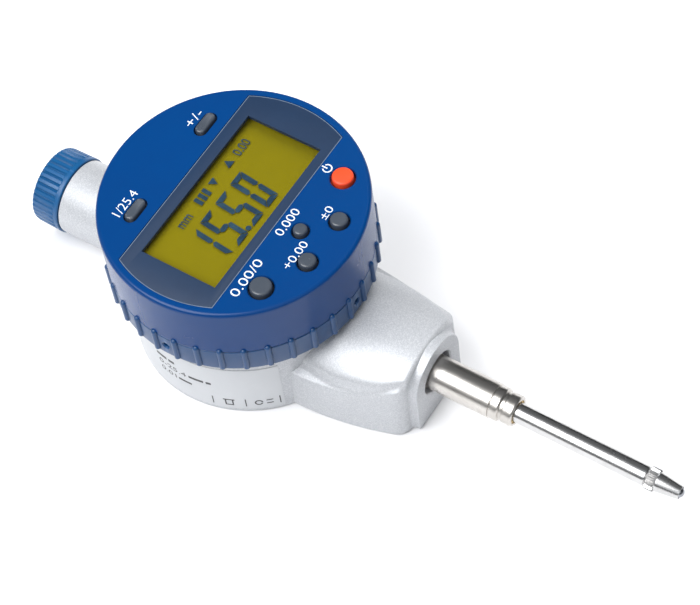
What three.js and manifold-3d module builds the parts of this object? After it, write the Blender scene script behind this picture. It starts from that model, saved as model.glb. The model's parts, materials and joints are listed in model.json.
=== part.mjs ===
// Digital dial indicator: a round display head that turns on a cast body, with a stem, a sprung spindle and a dust cap.
// Millimetres. The indicator lies on its back: +Z out of the display, origin at the centre of the back face,
// -Y along the stem to the contact point, +Y to the dust cap, +X in the reading direction.
import * as THREE from 'three';
import { mergeVertices } from 'three/addons/utils/BufferGeometryUtils.js';
import Module from 'manifold-3d';

const wasm = await Module();
wasm.setup();

// ---------------------------------------------------------------- driving dimensions

const AXIS_Z = 11.49;           // height of the spindle axis
const TUBE_R = 8.87;            // rear tube of the casting
const TUBE_COVER = 1.04;        // metal of the cup above the tube
const BASE_TOP_Z = AXIS_Z + TUBE_R + TUBE_COVER;
const BAND_HEIGHT = 3.9;
const BASE_BAND_Z = BASE_TOP_Z - BAND_HEIGHT;
const COLLAR_HEIGHT = 6.6;      // collar that the head turns on
const COLLAR_TOP_Z = BASE_TOP_Z + COLLAR_HEIGHT;
const RING_LIFT = 0.4;          // gap between the cup and the grip ring
const RING_BOTTOM_Z = BASE_TOP_Z + RING_LIFT;
const RING_HEIGHT = 6.4;
const SEAM_Z = RING_BOTTOM_Z + RING_HEIGHT;   // where the grip ring meets the head shell
const SEAM_GAP = 0.15;
const HEAD_DEPTH = 14.3;
const FACE_Z = SEAM_Z + HEAD_DEPTH;           // height of the display face above the back
const GRUB_Z = RING_BOTTOM_Z + RING_HEIGHT / 2;   // radial grub screws that hold the head on the collar
const GRUB_R = 1.0;
const GRUB_HOLE_GAP = 0.08;
const GRUB_COUNT = 4;

const HEAD_R = 29.4;            // display head, outside
const HEAD_EDGE = 0.9;          // rounding of the face's rim
const HEAD_WALL = 1.8;
const FACE_PLATE = 2.0;         // thickness of the plate that carries the window and the buttons
const RIB_COUNT = 36;
const RIB_R = 0.95;             // half-round ribs of the grip ring
const RIB_PROUD = 0.8;
const RING_WALL = 3.55;
const TURN_GAP = 0.25;          // radial running gap between the collar and the head
const COLLAR_R = HEAD_R - RING_WALL - TURN_GAP;
const COLLAR_WALL = 2.2;
const COLLAR_GROOVE = 0.9;
const COLLAR_GROOVE_R = COLLAR_R - COLLAR_GROOVE;

const HEAD_OVERHANG = 2.54;     // how far the head stands out over the cup
const BASE_R = HEAD_R - HEAD_OVERHANG;        // cast body, outside of the cup
const BASE_BAND = 0.29;
const BASE_BAND_R = BASE_R + BASE_BAND;
const BASE_WALL = 3.46;
const BASE_BORE_R = BASE_R - BASE_WALL;
const DECK = 2.0;               // deck between the cup and the head
const DECK_HOLE_R = 4.5;

const COVER_LEDGE = 1.1;
const COVER_GAP = 0.1;
const COVER_R = BASE_BORE_R + COVER_LEDGE - COVER_GAP;
const COVER_T = 1.8;
const COVER_SCREW_INSET = 2.2;
const COVER_SCREW_PCR = BASE_BORE_R - COVER_SCREW_INSET;

const FLANK_HALF_X = 16.65;     // shoulder block: half width where it leaves the cup
const FLANK_INSET = 6.86;
const FLANK_START_Y = -(BASE_R - FLANK_INSET);
const FLANK_R = 74;
const BLOCK_LENGTH = 20.04;
const BLOCK_FRONT_Y = -(BASE_R + BLOCK_LENGTH);
const BLOCK_CORNER = 2.4;
const FLANK_END_Y = BLOCK_FRONT_Y + BLOCK_CORNER;
const BLOCK_FRONT_HALF_X = 9.6;
const CROWN_DROP = 0.4;         // crowned top, below the cup's top
const CROWN_Z = BASE_TOP_Z - CROWN_DROP;
const CROWN_R = 20.0;
const BOSS_PROUD = 1.8;
const BOSS_FACE_Y = BLOCK_FRONT_Y - BOSS_PROUD;
const BOSS_HALF_X = 8.7;
const BOSS_ARCH_Z = AXIS_Z + 0.51;

const STEM_R = 4.0;
const STEM_LENGTH = 19.8;       // from the boss face to the end
const STEM_END_Y = BOSS_FACE_Y - STEM_LENGTH;
const STEM_INNER_Y = -(BASE_BORE_R + 0.8);
const COUNTERBORE_GAP = 1.1;
const COUNTERBORE_R = STEM_R + COUNTERBORE_GAP;
const COUNTERBORE_DEPTH = 5.0;

const TRAVEL = 25.4;
const SPINDLE_R = 2.25;
const RUN_GAP = 0.05;           // radial running gap of the spindle
const PRESS_GAP = 0.06;
const NOSE_CLEAR = 5.8;         // stem end to spindle nose at the top of the travel
const SPINDLE_NOSE_Y = STEM_END_Y - TRAVEL - NOSE_CLEAR;
const rearBushY = [BASE_BORE_R - 3.8, BASE_BORE_R + 2.0];
const SPINDLE_REAR_Y = rearBushY[1] + 1.0;

const TUBE_SPIGOT_STEP = 0.87;
const TUBE_SPIGOT_R = TUBE_R - TUBE_SPIGOT_STEP;
const TUBE_BORE_R = 4.6;
const TUBE_END_Y = SPINDLE_REAR_Y + TRAVEL - 0.5;
const CAP_SKIRT = 4.6;          // dust cap over the spigot
const CAP_Y = TUBE_END_Y - CAP_SKIRT;
const CAP_END = 2.7;
const CAP_END_Y = TUBE_END_Y + CAP_END;
const CAP_PROUD = 0.33;
const CAP_COLLAR_R = TUBE_R + CAP_PROUD;
const CAP_FLUTE_COUNT = 40;
const CAP_GAP = 0.25;
const CAP_END_WALL = 1.5;

const FRAME_TOP_Y = 12.34;      // display frame: straight edges and arc ends
const FRAME_BOTTOM_Y = -11.58;
const FRAME_INSET = 2.0;
const FRAME_ARC_R = HEAD_R - FRAME_INSET;
const FRAME_T = 0.9;
const FRAME_SINK = 0.12;        // how far the frame lies under the face
const SCREEN_LEFT_X = -20.4;    // opening over the liquid crystal display
const SCREEN_RIGHT_X = 19.9;
const SCREEN_TOP_Y = 9.4;
const SCREEN_BOTTOM_Y = -9.25;
const LENS_T = 0.6;
const LENS_MARGIN = 0.6;
const LCD_T = 2.0;
const LCD_DEPTH = 2.3;          // display glass, below the face
const LCD_FRONT_Z = FACE_Z - LCD_DEPTH;
const LCD_MARGIN_X = 2.4;
const LCD_MARGIN_Y = 2.0;

const BOARD_GAP = 1.4;
const BOARD_R = HEAD_R - HEAD_WALL - BOARD_GAP;
const BOARD_T = 1.6;
const BOARD_DEPTH = 5.9;        // top of the main board, below the face
const BOARD_TOP_Z = FACE_Z - BOARD_DEPTH;
const BATTERY_R = 10.0;
const BATTERY_T = 3.2;
const BATTERY_CENTRE_Y = 14.3;

const BUTTON_PROUD = 1.0;       // how far the caps stand above the face
const BUTTON_GAP = 0.45;        // clearance around a round cap
const KEY_GAP = 0.4;            // clearance around a long key
const BUTTON_TRAVEL = 0.7;
const BUTTON_FLANGE = 0.9;
const FLANGE_DEPTH = 2.15;
const FLANGE_TOP_Z = FACE_Z - FLANGE_DEPTH;
const ROUND_BUTTONS = [
  { name: 'zero_button', x: -15.75, y: -17.65, r: 2.42, colour: 'key_grey' },
  { name: 'preset_button', x: -5.65, y: -22.55, r: 1.95, colour: 'key_grey' },
  { name: 'origin_button', x: 0.15, y: -17.0, r: 1.58, colour: 'key_grey' },
  { name: 'tolerance_button', x: 6.2, y: -22.75, r: 1.95, colour: 'key_grey' },
  { name: 'power_button', x: 15.9, y: -17.45, r: 2.38, colour: 'power_red' },
];
const LONG_KEYS = [
  { name: 'unit_button', x: -12.6, y: 16.5 },
  { name: 'direction_button', x: 13.4, y: 16.25 },
];
const KEY_LENGTH = 5.9;
const KEY_WIDTH = 2.4;

const BIG = 60;                 // segments of large turned parts
const MID = 24;
const SMALL = 12;

// ---------------------------------------------------------------- materials

const finish = (color, roughness, metalness) => new THREE.MeshStandardMaterial({ color, roughness, metalness });
const MATERIALS = {
  casting: finish(0xc9ccd0, 0.45, 0.6),
  head_blue: finish(0x004e98, 0.25, 0.0),
  ring_blue: finish(0x2c5590, 0.45, 0.0),
  frame_slate: finish(0x2c4060, 0.5, 0.1),
  lens_clear: finish(0xdfe6ea, 0.05, 0.0),
  lcd_olive: finish(0x8f8500, 0.4, 0.0),
  key_grey: finish(0x4b525c, 0.5, 0.0),
  power_red: finish(0xf05f3c, 0.45, 0.0),
  polished_steel: finish(0xd5d3cf, 0.15, 1.0),
  carbide: finish(0x8a8c90, 0.2, 1.0),
  brass: finish(0xc9a667, 0.35, 1.0),
  black_oxide: finish(0x1c1c1e, 0.5, 0.6),
  board_green: finish(0x1f5a3a, 0.55, 0.0),
  silicone: finish(0x3a3d42, 0.8, 0.0),
  nylon: finish(0x2a2c30, 0.6, 0.0),
  label_white: finish(0xe9ebee, 0.5, 0.0),
  spring_steel: finish(0x9a9ca0, 0.3, 1.0),
  ribbon_amber: finish(0xb06a20, 0.5, 0.0),
};

// ---------------------------------------------------------------- geometry helpers

function signedVolume(geometry) {
  const p = geometry.attributes.position;
  const index = geometry.index.array;
  const [a, b, c] = [new THREE.Vector3(), new THREE.Vector3(), new THREE.Vector3()];
  let sum = 0;
  for (let i = 0; i < index.length; i += 3) {
    a.fromBufferAttribute(p, index[i]);
    b.fromBufferAttribute(p, index[i + 1]);
    c.fromBufferAttribute(p, index[i + 2]);
    sum += a.dot(b.cross(c));
  }
  return sum / 6;
}

// Position-only geometry with shared vertices, no collapsed triangles, and faces that point outwards.
function closed(geometry) {
  geometry.deleteAttribute('normal');
  geometry.deleteAttribute('uv');
  const merged = mergeVertices(geometry, 1e-4);
  const kept = [];
  const index = merged.index.array;
  for (let i = 0; i < index.length; i += 3) {
    const [a, b, c] = [index[i], index[i + 1], index[i + 2]];
    if (a !== b && b !== c && c !== a) kept.push(a, b, c);
  }
  merged.setIndex(kept);
  if (signedVolume(merged) < 0) {
    for (let i = 0; i < kept.length; i += 3) [kept[i], kept[i + 1]] = [kept[i + 1], kept[i]];
    merged.setIndex(kept);
  }
  return merged;
}

function solid(geometry) {
  const g = closed(geometry);
  const mesh = new wasm.Mesh({
    numProp: 3,
    vertProperties: new Float32Array(g.attributes.position.array),
    triVerts: new Uint32Array(g.index.array),
  });
  mesh.merge();
  return new wasm.Manifold(mesh);
}

function geometryOf(manifold) {
  const mesh = manifold.getMesh();
  const geometry = new THREE.BufferGeometry();
  geometry.setAttribute('position', new THREE.BufferAttribute(new Float32Array(mesh.vertProperties), 3));
  geometry.setIndex(new THREE.BufferAttribute(new Uint32Array(mesh.triVerts), 1));
  return geometry;
}

const join = (first, ...rest) => rest.reduce((sum, piece) => sum.add(piece), first);
const cut = (first, ...rest) => rest.reduce((left, tool) => left.subtract(tool), first);

// Turned part: the profile is a list of [radius, height] pairs; 'Y' keeps the axis along Y, 'Z' stands it up.
function turned(profile, axis, segments) {
  const geometry = new THREE.LatheGeometry(profile.map(([r, h]) => new THREE.Vector2(r, h)), segments);
  if (axis === 'Z') geometry.rotateX(Math.PI / 2);
  else geometry.translate(0, 0, AXIS_Z);
  return geometry;
}

const ringProfile = (inner, outer, low, high) => [
  [inner, low], [outer, low], [outer, high], [inner, high], [inner, low],
];
const rodProfile = (radius, low, high) => [[0, low], [radius, low], [radius, high], [0, high]];

const rodY = (radius, low, high, segments = MID) => turned(rodProfile(radius, low, high), 'Y', segments);
const tubeY = (inner, outer, low, high, segments = MID) => turned(ringProfile(inner, outer, low, high), 'Y', segments);

function rodZ(x, y, radius, low, high, segments = MID) {
  const geometry = turned(rodProfile(radius, low, high), 'Z', segments);
  return geometry.translate(x, y, 0);
}

function box(x0, x1, y0, y1, z0, z1) {
  const geometry = new THREE.BoxGeometry(x1 - x0, y1 - y0, z1 - z0);
  return geometry.translate((x0 + x1) / 2, (y0 + y1) / 2, (z0 + z1) / 2);
}

// Flat shape in the XY plane, extruded upwards from z0 to z1.
function plate(shape, z0, z1, curveSegments = 12) {
  const geometry = new THREE.ExtrudeGeometry(shape, { depth: z1 - z0, bevelEnabled: false, curveSegments });
  return geometry.translate(0, 0, z0);
}

// Flat shape drawn in X and Z, extruded along Y from y0 down to y1.
function slabY(shape, y0, y1, curveSegments = 12) {
  const geometry = new THREE.ExtrudeGeometry(shape, { depth: y0 - y1, bevelEnabled: false, curveSegments });
  geometry.rotateX(Math.PI / 2);
  return geometry.translate(0, y0, 0);
}

function stadium(x, y, length, width) {
  const r = width / 2;
  const h = length / 2 - r;
  const shape = new THREE.Shape();
  shape.moveTo(x - h, y - r);
  shape.lineTo(x + h, y - r);
  shape.absarc(x + h, y, r, -Math.PI / 2, Math.PI / 2, false);
  shape.lineTo(x - h, y + r);
  shape.absarc(x - h, y, r, Math.PI / 2, 1.5 * Math.PI, false);
  return shape;
}

const model = new THREE.Group();

function add(name, material, geometry) {
  const mesh = new THREE.Mesh(geometry, MATERIALS[material]);
  mesh.name = name;
  model.add(mesh);
}

// ---------------------------------------------------------------- cast body

const wallInnerR = COVER_R + COVER_GAP;      // recess that takes the back cover
const ledgeZ = COVER_T + COVER_GAP;
const deckBottomZ = BASE_TOP_Z - DECK;
const grooveHalf = GRUB_R + 0.2;
const rearBushR = SPINDLE_R + RUN_GAP + 1.1;
const coverScrewAngles = [45, 135, 225, 315].map(THREE.MathUtils.degToRad);

function castCup() {
  return turned([
    [wallInnerR, 0], [BASE_R, 0], [BASE_R, BASE_BAND_Z], [BASE_BAND_R, BASE_BAND_Z + 0.3],
    [BASE_BAND_R, BASE_TOP_Z], [COLLAR_R, BASE_TOP_Z], [COLLAR_R, GRUB_Z - grooveHalf],
    [COLLAR_GROOVE_R, GRUB_Z - grooveHalf], [COLLAR_GROOVE_R, GRUB_Z + grooveHalf],
    [COLLAR_R, GRUB_Z + grooveHalf], [COLLAR_R, COLLAR_TOP_Z], [COLLAR_R - COLLAR_WALL, COLLAR_TOP_Z],
    [COLLAR_R - COLLAR_WALL, BASE_TOP_Z], [DECK_HOLE_R, BASE_TOP_Z], [DECK_HOLE_R, deckBottomZ],
    [BASE_BORE_R, deckBottomZ], [BASE_BORE_R, ledgeZ], [wallInnerR, ledgeZ], [wallInnerR, 0],
  ], 'Z', BIG);
}

function flankX(y) {
  const dy = y - FLANK_START_Y;
  return FLANK_HALF_X - (FLANK_R - Math.sqrt(FLANK_R * FLANK_R - dy * dy));
}

// Plan of the shoulder block: curved flanks that draw in to the flat front.
function blockPlan() {
  const innerY = -(BASE_BORE_R + BASE_R) / 2 + 8;
  const steps = 7;
  const flank = [];
  for (let i = 0; i <= steps; i++) {
    const y = FLANK_START_Y + (FLANK_END_Y - FLANK_START_Y) * i / steps;
    flank.push([flankX(y), y]);
  }
  const slope = (FLANK_END_Y - FLANK_START_Y) / Math.sqrt(FLANK_R ** 2 - (FLANK_END_Y - FLANK_START_Y) ** 2);
  const cornerX = flankX(FLANK_END_Y) + (BLOCK_FRONT_Y - FLANK_END_Y) * -slope;
  const shape = new THREE.Shape();
  shape.moveTo(-FLANK_HALF_X, innerY);
  shape.lineTo(FLANK_HALF_X, innerY);
  for (const [x, y] of flank) shape.lineTo(x, y);
  shape.quadraticCurveTo(cornerX, BLOCK_FRONT_Y, BLOCK_FRONT_HALF_X, BLOCK_FRONT_Y);
  shape.lineTo(-BLOCK_FRONT_HALF_X, BLOCK_FRONT_Y);
  shape.quadraticCurveTo(-cornerX, BLOCK_FRONT_Y, -flankX(FLANK_END_Y), FLANK_END_Y);
  for (const [x, y] of flank.reverse()) shape.lineTo(-x, y);
  return shape;
}

// Section of the crowned top, across the block.
function crownSection() {
  const half = FLANK_HALF_X + 1;
  const dropAngle = Math.asin(half / CROWN_R);
  const shape = new THREE.Shape();
  shape.moveTo(-half, 0);
  shape.lineTo(half, 0);
  shape.absarc(0, CROWN_Z - CROWN_R, CROWN_R, Math.PI / 2 - dropAngle, Math.PI / 2 + dropAngle, false);
  return shape;
}

function castBlock() {
  const plan = solid(plate(blockPlan(), 0, CROWN_Z + 1, 5));
  const crown = solid(slabY(crownSection(), 0, BLOCK_FRONT_Y - 1, 12));
  return plan.intersect(crown);
}

function castBoss() {
  const shape = new THREE.Shape();
  shape.moveTo(-BOSS_HALF_X, 0);
  shape.lineTo(BOSS_HALF_X, 0);
  shape.lineTo(BOSS_HALF_X, BOSS_ARCH_Z);
  shape.absarc(0, BOSS_ARCH_Z, BOSS_HALF_X, 0, Math.PI, false);
  return solid(slabY(shape, BLOCK_FRONT_Y + 1, BOSS_FACE_Y, 12));
}

function castTube() {
  const rootY = BASE_BORE_R - 0.6;
  return solid(turned([
    [0, rootY], [TUBE_R, rootY], [TUBE_R, CAP_Y - CAP_GAP], [TUBE_SPIGOT_R, CAP_Y - CAP_GAP],
    [TUBE_SPIGOT_R, TUBE_END_Y], [0, TUBE_END_Y],
  ], 'Y', 36));
}

function castRearBushHousing() {
  return solid(rodY(rearBushR + 1.6, rearBushY[0], BASE_BORE_R + 1, 24));
}

function coverPosts() {
  const z1 = 8.5;
  return coverScrewAngles.map((angle) => {
    const [x, y] = [COVER_SCREW_PCR * Math.cos(angle), COVER_SCREW_PCR * Math.sin(angle)];
    return cut(
      solid(rodZ(x, y, 2.7, ledgeZ, z1, SMALL)),
      solid(rodZ(x, y, 1.05, ledgeZ - 1, z1 - 1.2, 12)),
    );
  });
}

function castBody() {
  const cavity = solid(rodZ(0, 0, BASE_BORE_R, -1, deckBottomZ, BIG));
  const recess = solid(rodZ(0, 0, wallInnerR, -1, ledgeZ, BIG));
  const shell = join(
    cut(join(castBlock(), castBoss(), castTube()), cavity, recess),
    solid(castCup()),
    castRearBushHousing(),
    ...coverPosts(),
  );
  const stemBore = solid(rodY(STEM_R + PRESS_GAP, BOSS_FACE_Y - 1, -BASE_BORE_R + 3));
  const counterbore = solid(rodY(COUNTERBORE_R, BOSS_FACE_Y - 1, BOSS_FACE_Y + COUNTERBORE_DEPTH));
  const bushBore = solid(rodY(rearBushR + PRESS_GAP, rearBushY[0] - 1, rearBushY[1] + 0.1, 24));
  const tubeBore = solid(rodY(TUBE_BORE_R, rearBushY[1], TUBE_END_Y + 1));
  add('cast_body', 'casting', geometryOf(cut(shell, stemBore, counterbore, bushBore, tubeBore)));
}

// ---------------------------------------------------------------- back cover and its screws

const screwHeadR = 1.9;
const screwHeadSink = 0.15;
const screwHeadZ = screwHeadSink + 1.0;

function backCover() {
  const disc = solid(rodZ(0, 0, COVER_R, 0, COVER_T, BIG));
  const holes = coverScrewAngles.map((angle) => {
    const [x, y] = [COVER_SCREW_PCR * Math.cos(angle), COVER_SCREW_PCR * Math.sin(angle)];
    const hole = turned([
      [0, -1], [screwHeadR + 0.15, -1], [screwHeadR + 0.15, screwHeadSink],
      [1.15, screwHeadZ + 0.15], [1.15, COVER_T + 1], [0, COVER_T + 1],
    ], 'Z', SMALL);
    return solid(hole.translate(x, y, 0));
  });
  add('back_cover', 'casting', geometryOf(cut(disc, ...holes)));
}

function coverScrews() {
  coverScrewAngles.forEach((angle, i) => {
    const [x, y] = [COVER_SCREW_PCR * Math.cos(angle), COVER_SCREW_PCR * Math.sin(angle)];
    const screw = solid(turned([
      [0, screwHeadSink], [screwHeadR, screwHeadSink], [0.95, screwHeadZ], [0.95, 6.4], [0, 6.4],
    ], 'Z', SMALL).translate(x, y, 0));
    const slotA = solid(box(x - 1.2, x + 1.2, y - 0.22, y + 0.22, 0, 0.6));
    const slotB = solid(box(x - 0.22, x + 0.22, y - 1.2, y + 1.2, 0, 0.6));
    add(`cover_screw_${i + 1}`, 'polished_steel', geometryOf(cut(screw, slotA, slotB)));
  });
}

// ---------------------------------------------------------------- rating label round the cup

function label() {
  const half = THREE.MathUtils.degToRad(47.7);
  const [inner, outer, z0, z1] = [BASE_R + 0.05, BASE_R + 0.2, 1.2, BASE_BAND_Z - 0.6];
  const shape = new THREE.Shape();
  shape.absarc(0, 0, outer, Math.PI - half, Math.PI + half, false);
  shape.absarc(0, 0, inner, Math.PI + half, Math.PI - half, true);
  add('wrap_label', 'label_white', closed(plate(shape, z0, z1, 20)));
}

// ---------------------------------------------------------------- stem and bushes

const lowerBushY = [STEM_END_Y + 0.05, STEM_END_Y + 7];
const upperBushY = [STEM_INNER_Y - 7, STEM_INNER_Y - 0.05];
const bushR = SPINDLE_R + RUN_GAP + 0.75;
const stepY = STEM_END_Y + 5.3;          // fine line behind the collars
const grooveStartY = STEM_END_Y + 3.25;
const endCollarY = STEM_END_Y + 2.5;
const endCollarR = bushR + 0.5;

function stem() {
  const seatR = bushR + PRESS_GAP;
  const boreR = SPINDLE_R + 0.4;
  add('stem', 'polished_steel', closed(turned([
    [seatR, STEM_END_Y], [endCollarR - 0.25, STEM_END_Y], [endCollarR, STEM_END_Y + 0.25],
    [endCollarR, endCollarY - 0.15], [endCollarR - 0.15, endCollarY], [endCollarR - 0.3, endCollarY],
    [endCollarR - 0.3, grooveStartY], [STEM_R - 0.4, grooveStartY], [STEM_R - 0.15, grooveStartY + 0.25],
    [STEM_R - 0.15, stepY], [STEM_R, stepY + 0.15], [STEM_R, STEM_INNER_Y],
    [seatR, STEM_INNER_Y], [seatR, upperBushY[0] - 0.05], [boreR, upperBushY[0] - 0.05],
    [boreR, lowerBushY[1] + 0.05], [seatR, lowerBushY[1] + 0.05], [seatR, STEM_END_Y],
  ], 'Y', MID)));
}

function bush(name, outer, [y0, y1]) {
  add(name, 'brass', closed(tubeY(SPINDLE_R + RUN_GAP, outer, y0, y1)));
}

// ---------------------------------------------------------------- spindle, contact point and carriage

const shankR = 1.25;
const shankDepth = 5.0;
const contactCollarY = [SPINDLE_NOSE_Y - 2.4, SPINDLE_NOSE_Y - 0.05];
const coneEndY = contactCollarY[0] - 4.8;
const ballR = 1.25;
const carriageY = [-(BASE_BORE_R - 1.0), -(BASE_BORE_R - 5.5)];
const carriageHalfX = 4.4;
const stripT = 0.8;
const readerT = 1.6;
const readerBottomZ = deckBottomZ - 0.15 - readerT;
const armTopZ = readerBottomZ - 0.5 - stripT - 0.05;
const carriageZ = [AXIS_Z - 3.89, armTopZ - 0.9];
const armEndY = rearBushY[0] - TRAVEL - 0.8;
const stripHalfX = 5.0;

function spindle() {
  const bore = shankR + 0.08;
  add('spindle', 'polished_steel', closed(turned([
    [0, SPINDLE_REAR_Y], [SPINDLE_R - 0.3, SPINDLE_REAR_Y], [SPINDLE_R, SPINDLE_REAR_Y - 0.3],
    [SPINDLE_R, SPINDLE_NOSE_Y + 0.2], [SPINDLE_R - 0.2, SPINDLE_NOSE_Y], [bore, SPINDLE_NOSE_Y],
    [bore, SPINDLE_NOSE_Y + shankDepth + 0.3], [0, SPINDLE_NOSE_Y + shankDepth + 0.3],
  ], 'Y', MID)));
}

function contactPoint() {
  const seatR = ballR + 0.06;
  add('contact_point', 'polished_steel', closed(turned([
    [0, SPINDLE_NOSE_Y + shankDepth], [shankR, SPINDLE_NOSE_Y + shankDepth], [shankR, contactCollarY[1]],
    [2.35, contactCollarY[1]], [2.5, contactCollarY[1] - 0.15], [2.5, contactCollarY[0] + 0.15],
    [2.2, contactCollarY[0]], [1.52, coneEndY], [seatR, coneEndY], [seatR, coneEndY + ballR + 0.1],
    [0, coneEndY + ballR + 0.1],
  ], 'Y', MID)));
}

function contactBall() {
  const ball = new THREE.SphereGeometry(ballR, 16, 10);
  add('contact_ball', 'carbide', closed(ball.translate(0, coneEndY + 0.05, AXIS_Z)));
}

const pinTopZ = AXIS_Z - SPINDLE_R - 0.44;

function carriage() {
  const block = solid(box(-carriageHalfX, carriageHalfX, ...carriageY, ...carriageZ));
  const arm = solid(box(-carriageHalfX, carriageHalfX, carriageY[0], armEndY, carriageZ[1] - 0.05, armTopZ));
  const bore = solid(rodY(SPINDLE_R + PRESS_GAP, carriageY[0] - 1, carriageY[1] + 1, 24));
  const pinHole = solid(rodZ(0, (carriageY[0] + carriageY[1]) / 2, 1.05, 0, pinTopZ + 0.1, 16));
  add('scale_carriage', 'nylon', geometryOf(cut(join(block, arm), bore, pinHole)));
}

function scaleStrip() {
  const z0 = armTopZ + 0.05;
  add('scale_strip', 'board_green', box(-stripHalfX, stripHalfX, carriageY[0] + 0.5, armEndY, z0, z0 + stripT));
}

function guidePin() {
  const y = (carriageY[0] + carriageY[1]) / 2;
  add('guide_pin', 'polished_steel', closed(rodZ(0, y, 0.98, COVER_T + 1.8, pinTopZ, 16)));
}

function guideRail() {
  const [slot, half, z0, z1] = [1.05, 3.4, COVER_T + 0.1, carriageZ[0] - 2.0];
  const [y0, y1] = [carriageY[0] + 0.2, carriageY[1] + TRAVEL + 2];
  const rail = cut(
    solid(box(-half, half, y0, y1 + 2, z0, z1)),
    solid(box(-slot, slot, y0 - 1, y1, z0 + 0.9, z1 + 1)),
  );
  add('guide_rail', 'nylon', geometryOf(rail));
}

class Helix extends THREE.Curve {
  constructor(radius, turns, low, high) {
    super();
    Object.assign(this, { radius, turns, low, high });
  }

  getPoint(t, target = new THREE.Vector3()) {
    const angle = 2 * Math.PI * this.turns * t;
    const y = this.low + (this.high - this.low) * t;
    return target.set(this.radius * Math.cos(angle), y, AXIS_Z + this.radius * Math.sin(angle));
  }
}

function returnSpring() {
  const [wireR, turns] = [0.28, 11];
  const helix = new Helix(SPINDLE_R + 0.95, turns, carriageY[1] + 0.35, rearBushY[0] - 0.35);
  const section = new THREE.Shape();
  section.absarc(0, 0, wireR, 0, 2 * Math.PI, false);
  const geometry = new THREE.ExtrudeGeometry(section, {
    steps: turns * 10, curveSegments: 3, bevelEnabled: false, extrudePath: helix,
  });
  add('return_spring', 'spring_steel', closed(geometry));
}

function readerBoard() {
  const y = BASE_BORE_R - 2.4;
  add('reader_board', 'board_green', box(-8, 8, -y, y, readerBottomZ, readerBottomZ + readerT));
}

// Stands on the head's turning axis, so the head can turn round it.
function ribbonCable() {
  add('ribbon_cable', 'ribbon_amber', box(-2.5, 2.5, -0.2, 0.2, deckBottomZ - 0.1, BOARD_TOP_Z - BOARD_T - 0.1));
}

// ---------------------------------------------------------------- display head

const faceBottomZ = FACE_Z - FACE_PLATE;
const frameTopZ = FACE_Z - FRAME_SINK;
const frameGap = 0.08;
const pocketFloorZ = frameTopZ - FRAME_T - frameGap;
const shellInnerR = HEAD_R - HEAD_WALL;
const shellBottomZ = SEAM_Z + SEAM_GAP;
const postR = 1.7;
const lowerPostR = shellInnerR - postR - 0.16;
const lowerPostAngle = THREE.MathUtils.degToRad(32.95);
const postPlaces = [
  [0, BATTERY_CENTRE_Y + 5.9],
  [-lowerPostR * Math.cos(lowerPostAngle), -lowerPostR * Math.sin(lowerPostAngle)],
  [lowerPostR * Math.cos(lowerPostAngle), -lowerPostR * Math.sin(lowerPostAngle)],
];

// Strip across the head: straight long edges and ends that follow the rim.
function frameOutline(grow) {
  const r = FRAME_ARC_R + grow;
  const [top, bottom] = [FRAME_TOP_Y + grow, FRAME_BOTTOM_Y - grow];
  const [topAngle, bottomAngle] = [Math.asin(top / r), Math.asin(bottom / r)];
  const shape = new THREE.Shape();
  shape.absarc(0, 0, r, bottomAngle, topAngle, false);
  shape.absarc(0, 0, r, Math.PI - topAngle, Math.PI - bottomAngle, false);
  return shape;
}

const screenBox = (grow, z0, z1) => box(
  SCREEN_LEFT_X - grow, SCREEN_RIGHT_X + grow, SCREEN_BOTTOM_Y - grow, SCREEN_TOP_Y + grow, z0, z1,
);

function headShell() {
  const e = HEAD_EDGE;
  const rim = [0, 1, 2, 3, 4].map((i) => {
    const a = i / 4 * Math.PI / 2;
    return [HEAD_R - e + e * Math.cos(a), FACE_Z - e + e * Math.sin(a)];
  });
  const cup = solid(turned([
    [shellInnerR, shellBottomZ], [HEAD_R, shellBottomZ], ...rim, [0, FACE_Z], [0, faceBottomZ],
    [shellInnerR, faceBottomZ], [shellInnerR, shellBottomZ],
  ], 'Z', BIG));
  const pocket = solid(plate(frameOutline(frameGap), pocketFloorZ, FACE_Z + 1, 10));
  const aperture = solid(screenBox(LENS_MARGIN + 0.15, faceBottomZ - 1, FACE_Z));
  const roundHoles = ROUND_BUTTONS.map((b) => (
    solid(rodZ(b.x, b.y, b.r + BUTTON_GAP, faceBottomZ - 1, FACE_Z + 1, 20))
  ));
  const longHoles = LONG_KEYS.map((k) => (
    solid(plate(stadium(k.x, k.y, KEY_LENGTH + 2 * KEY_GAP, KEY_WIDTH + 2 * KEY_GAP), faceBottomZ - 1, FACE_Z + 1, 6))
  ));
  const posts = postPlaces.map(([x, y]) => cut(
    solid(rodZ(x, y, postR, BOARD_TOP_Z + 0.1, faceBottomZ + 0.2, 16)),
    solid(rodZ(x, y, 0.75, BOARD_TOP_Z - 1, faceBottomZ - 0.5, 12)),
  ));
  const plateWork = cut(cup, pocket, aperture, ...roundHoles, ...longHoles);
  add('head_shell', 'head_blue', geometryOf(join(plateWork, ...posts)));
}

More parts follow.
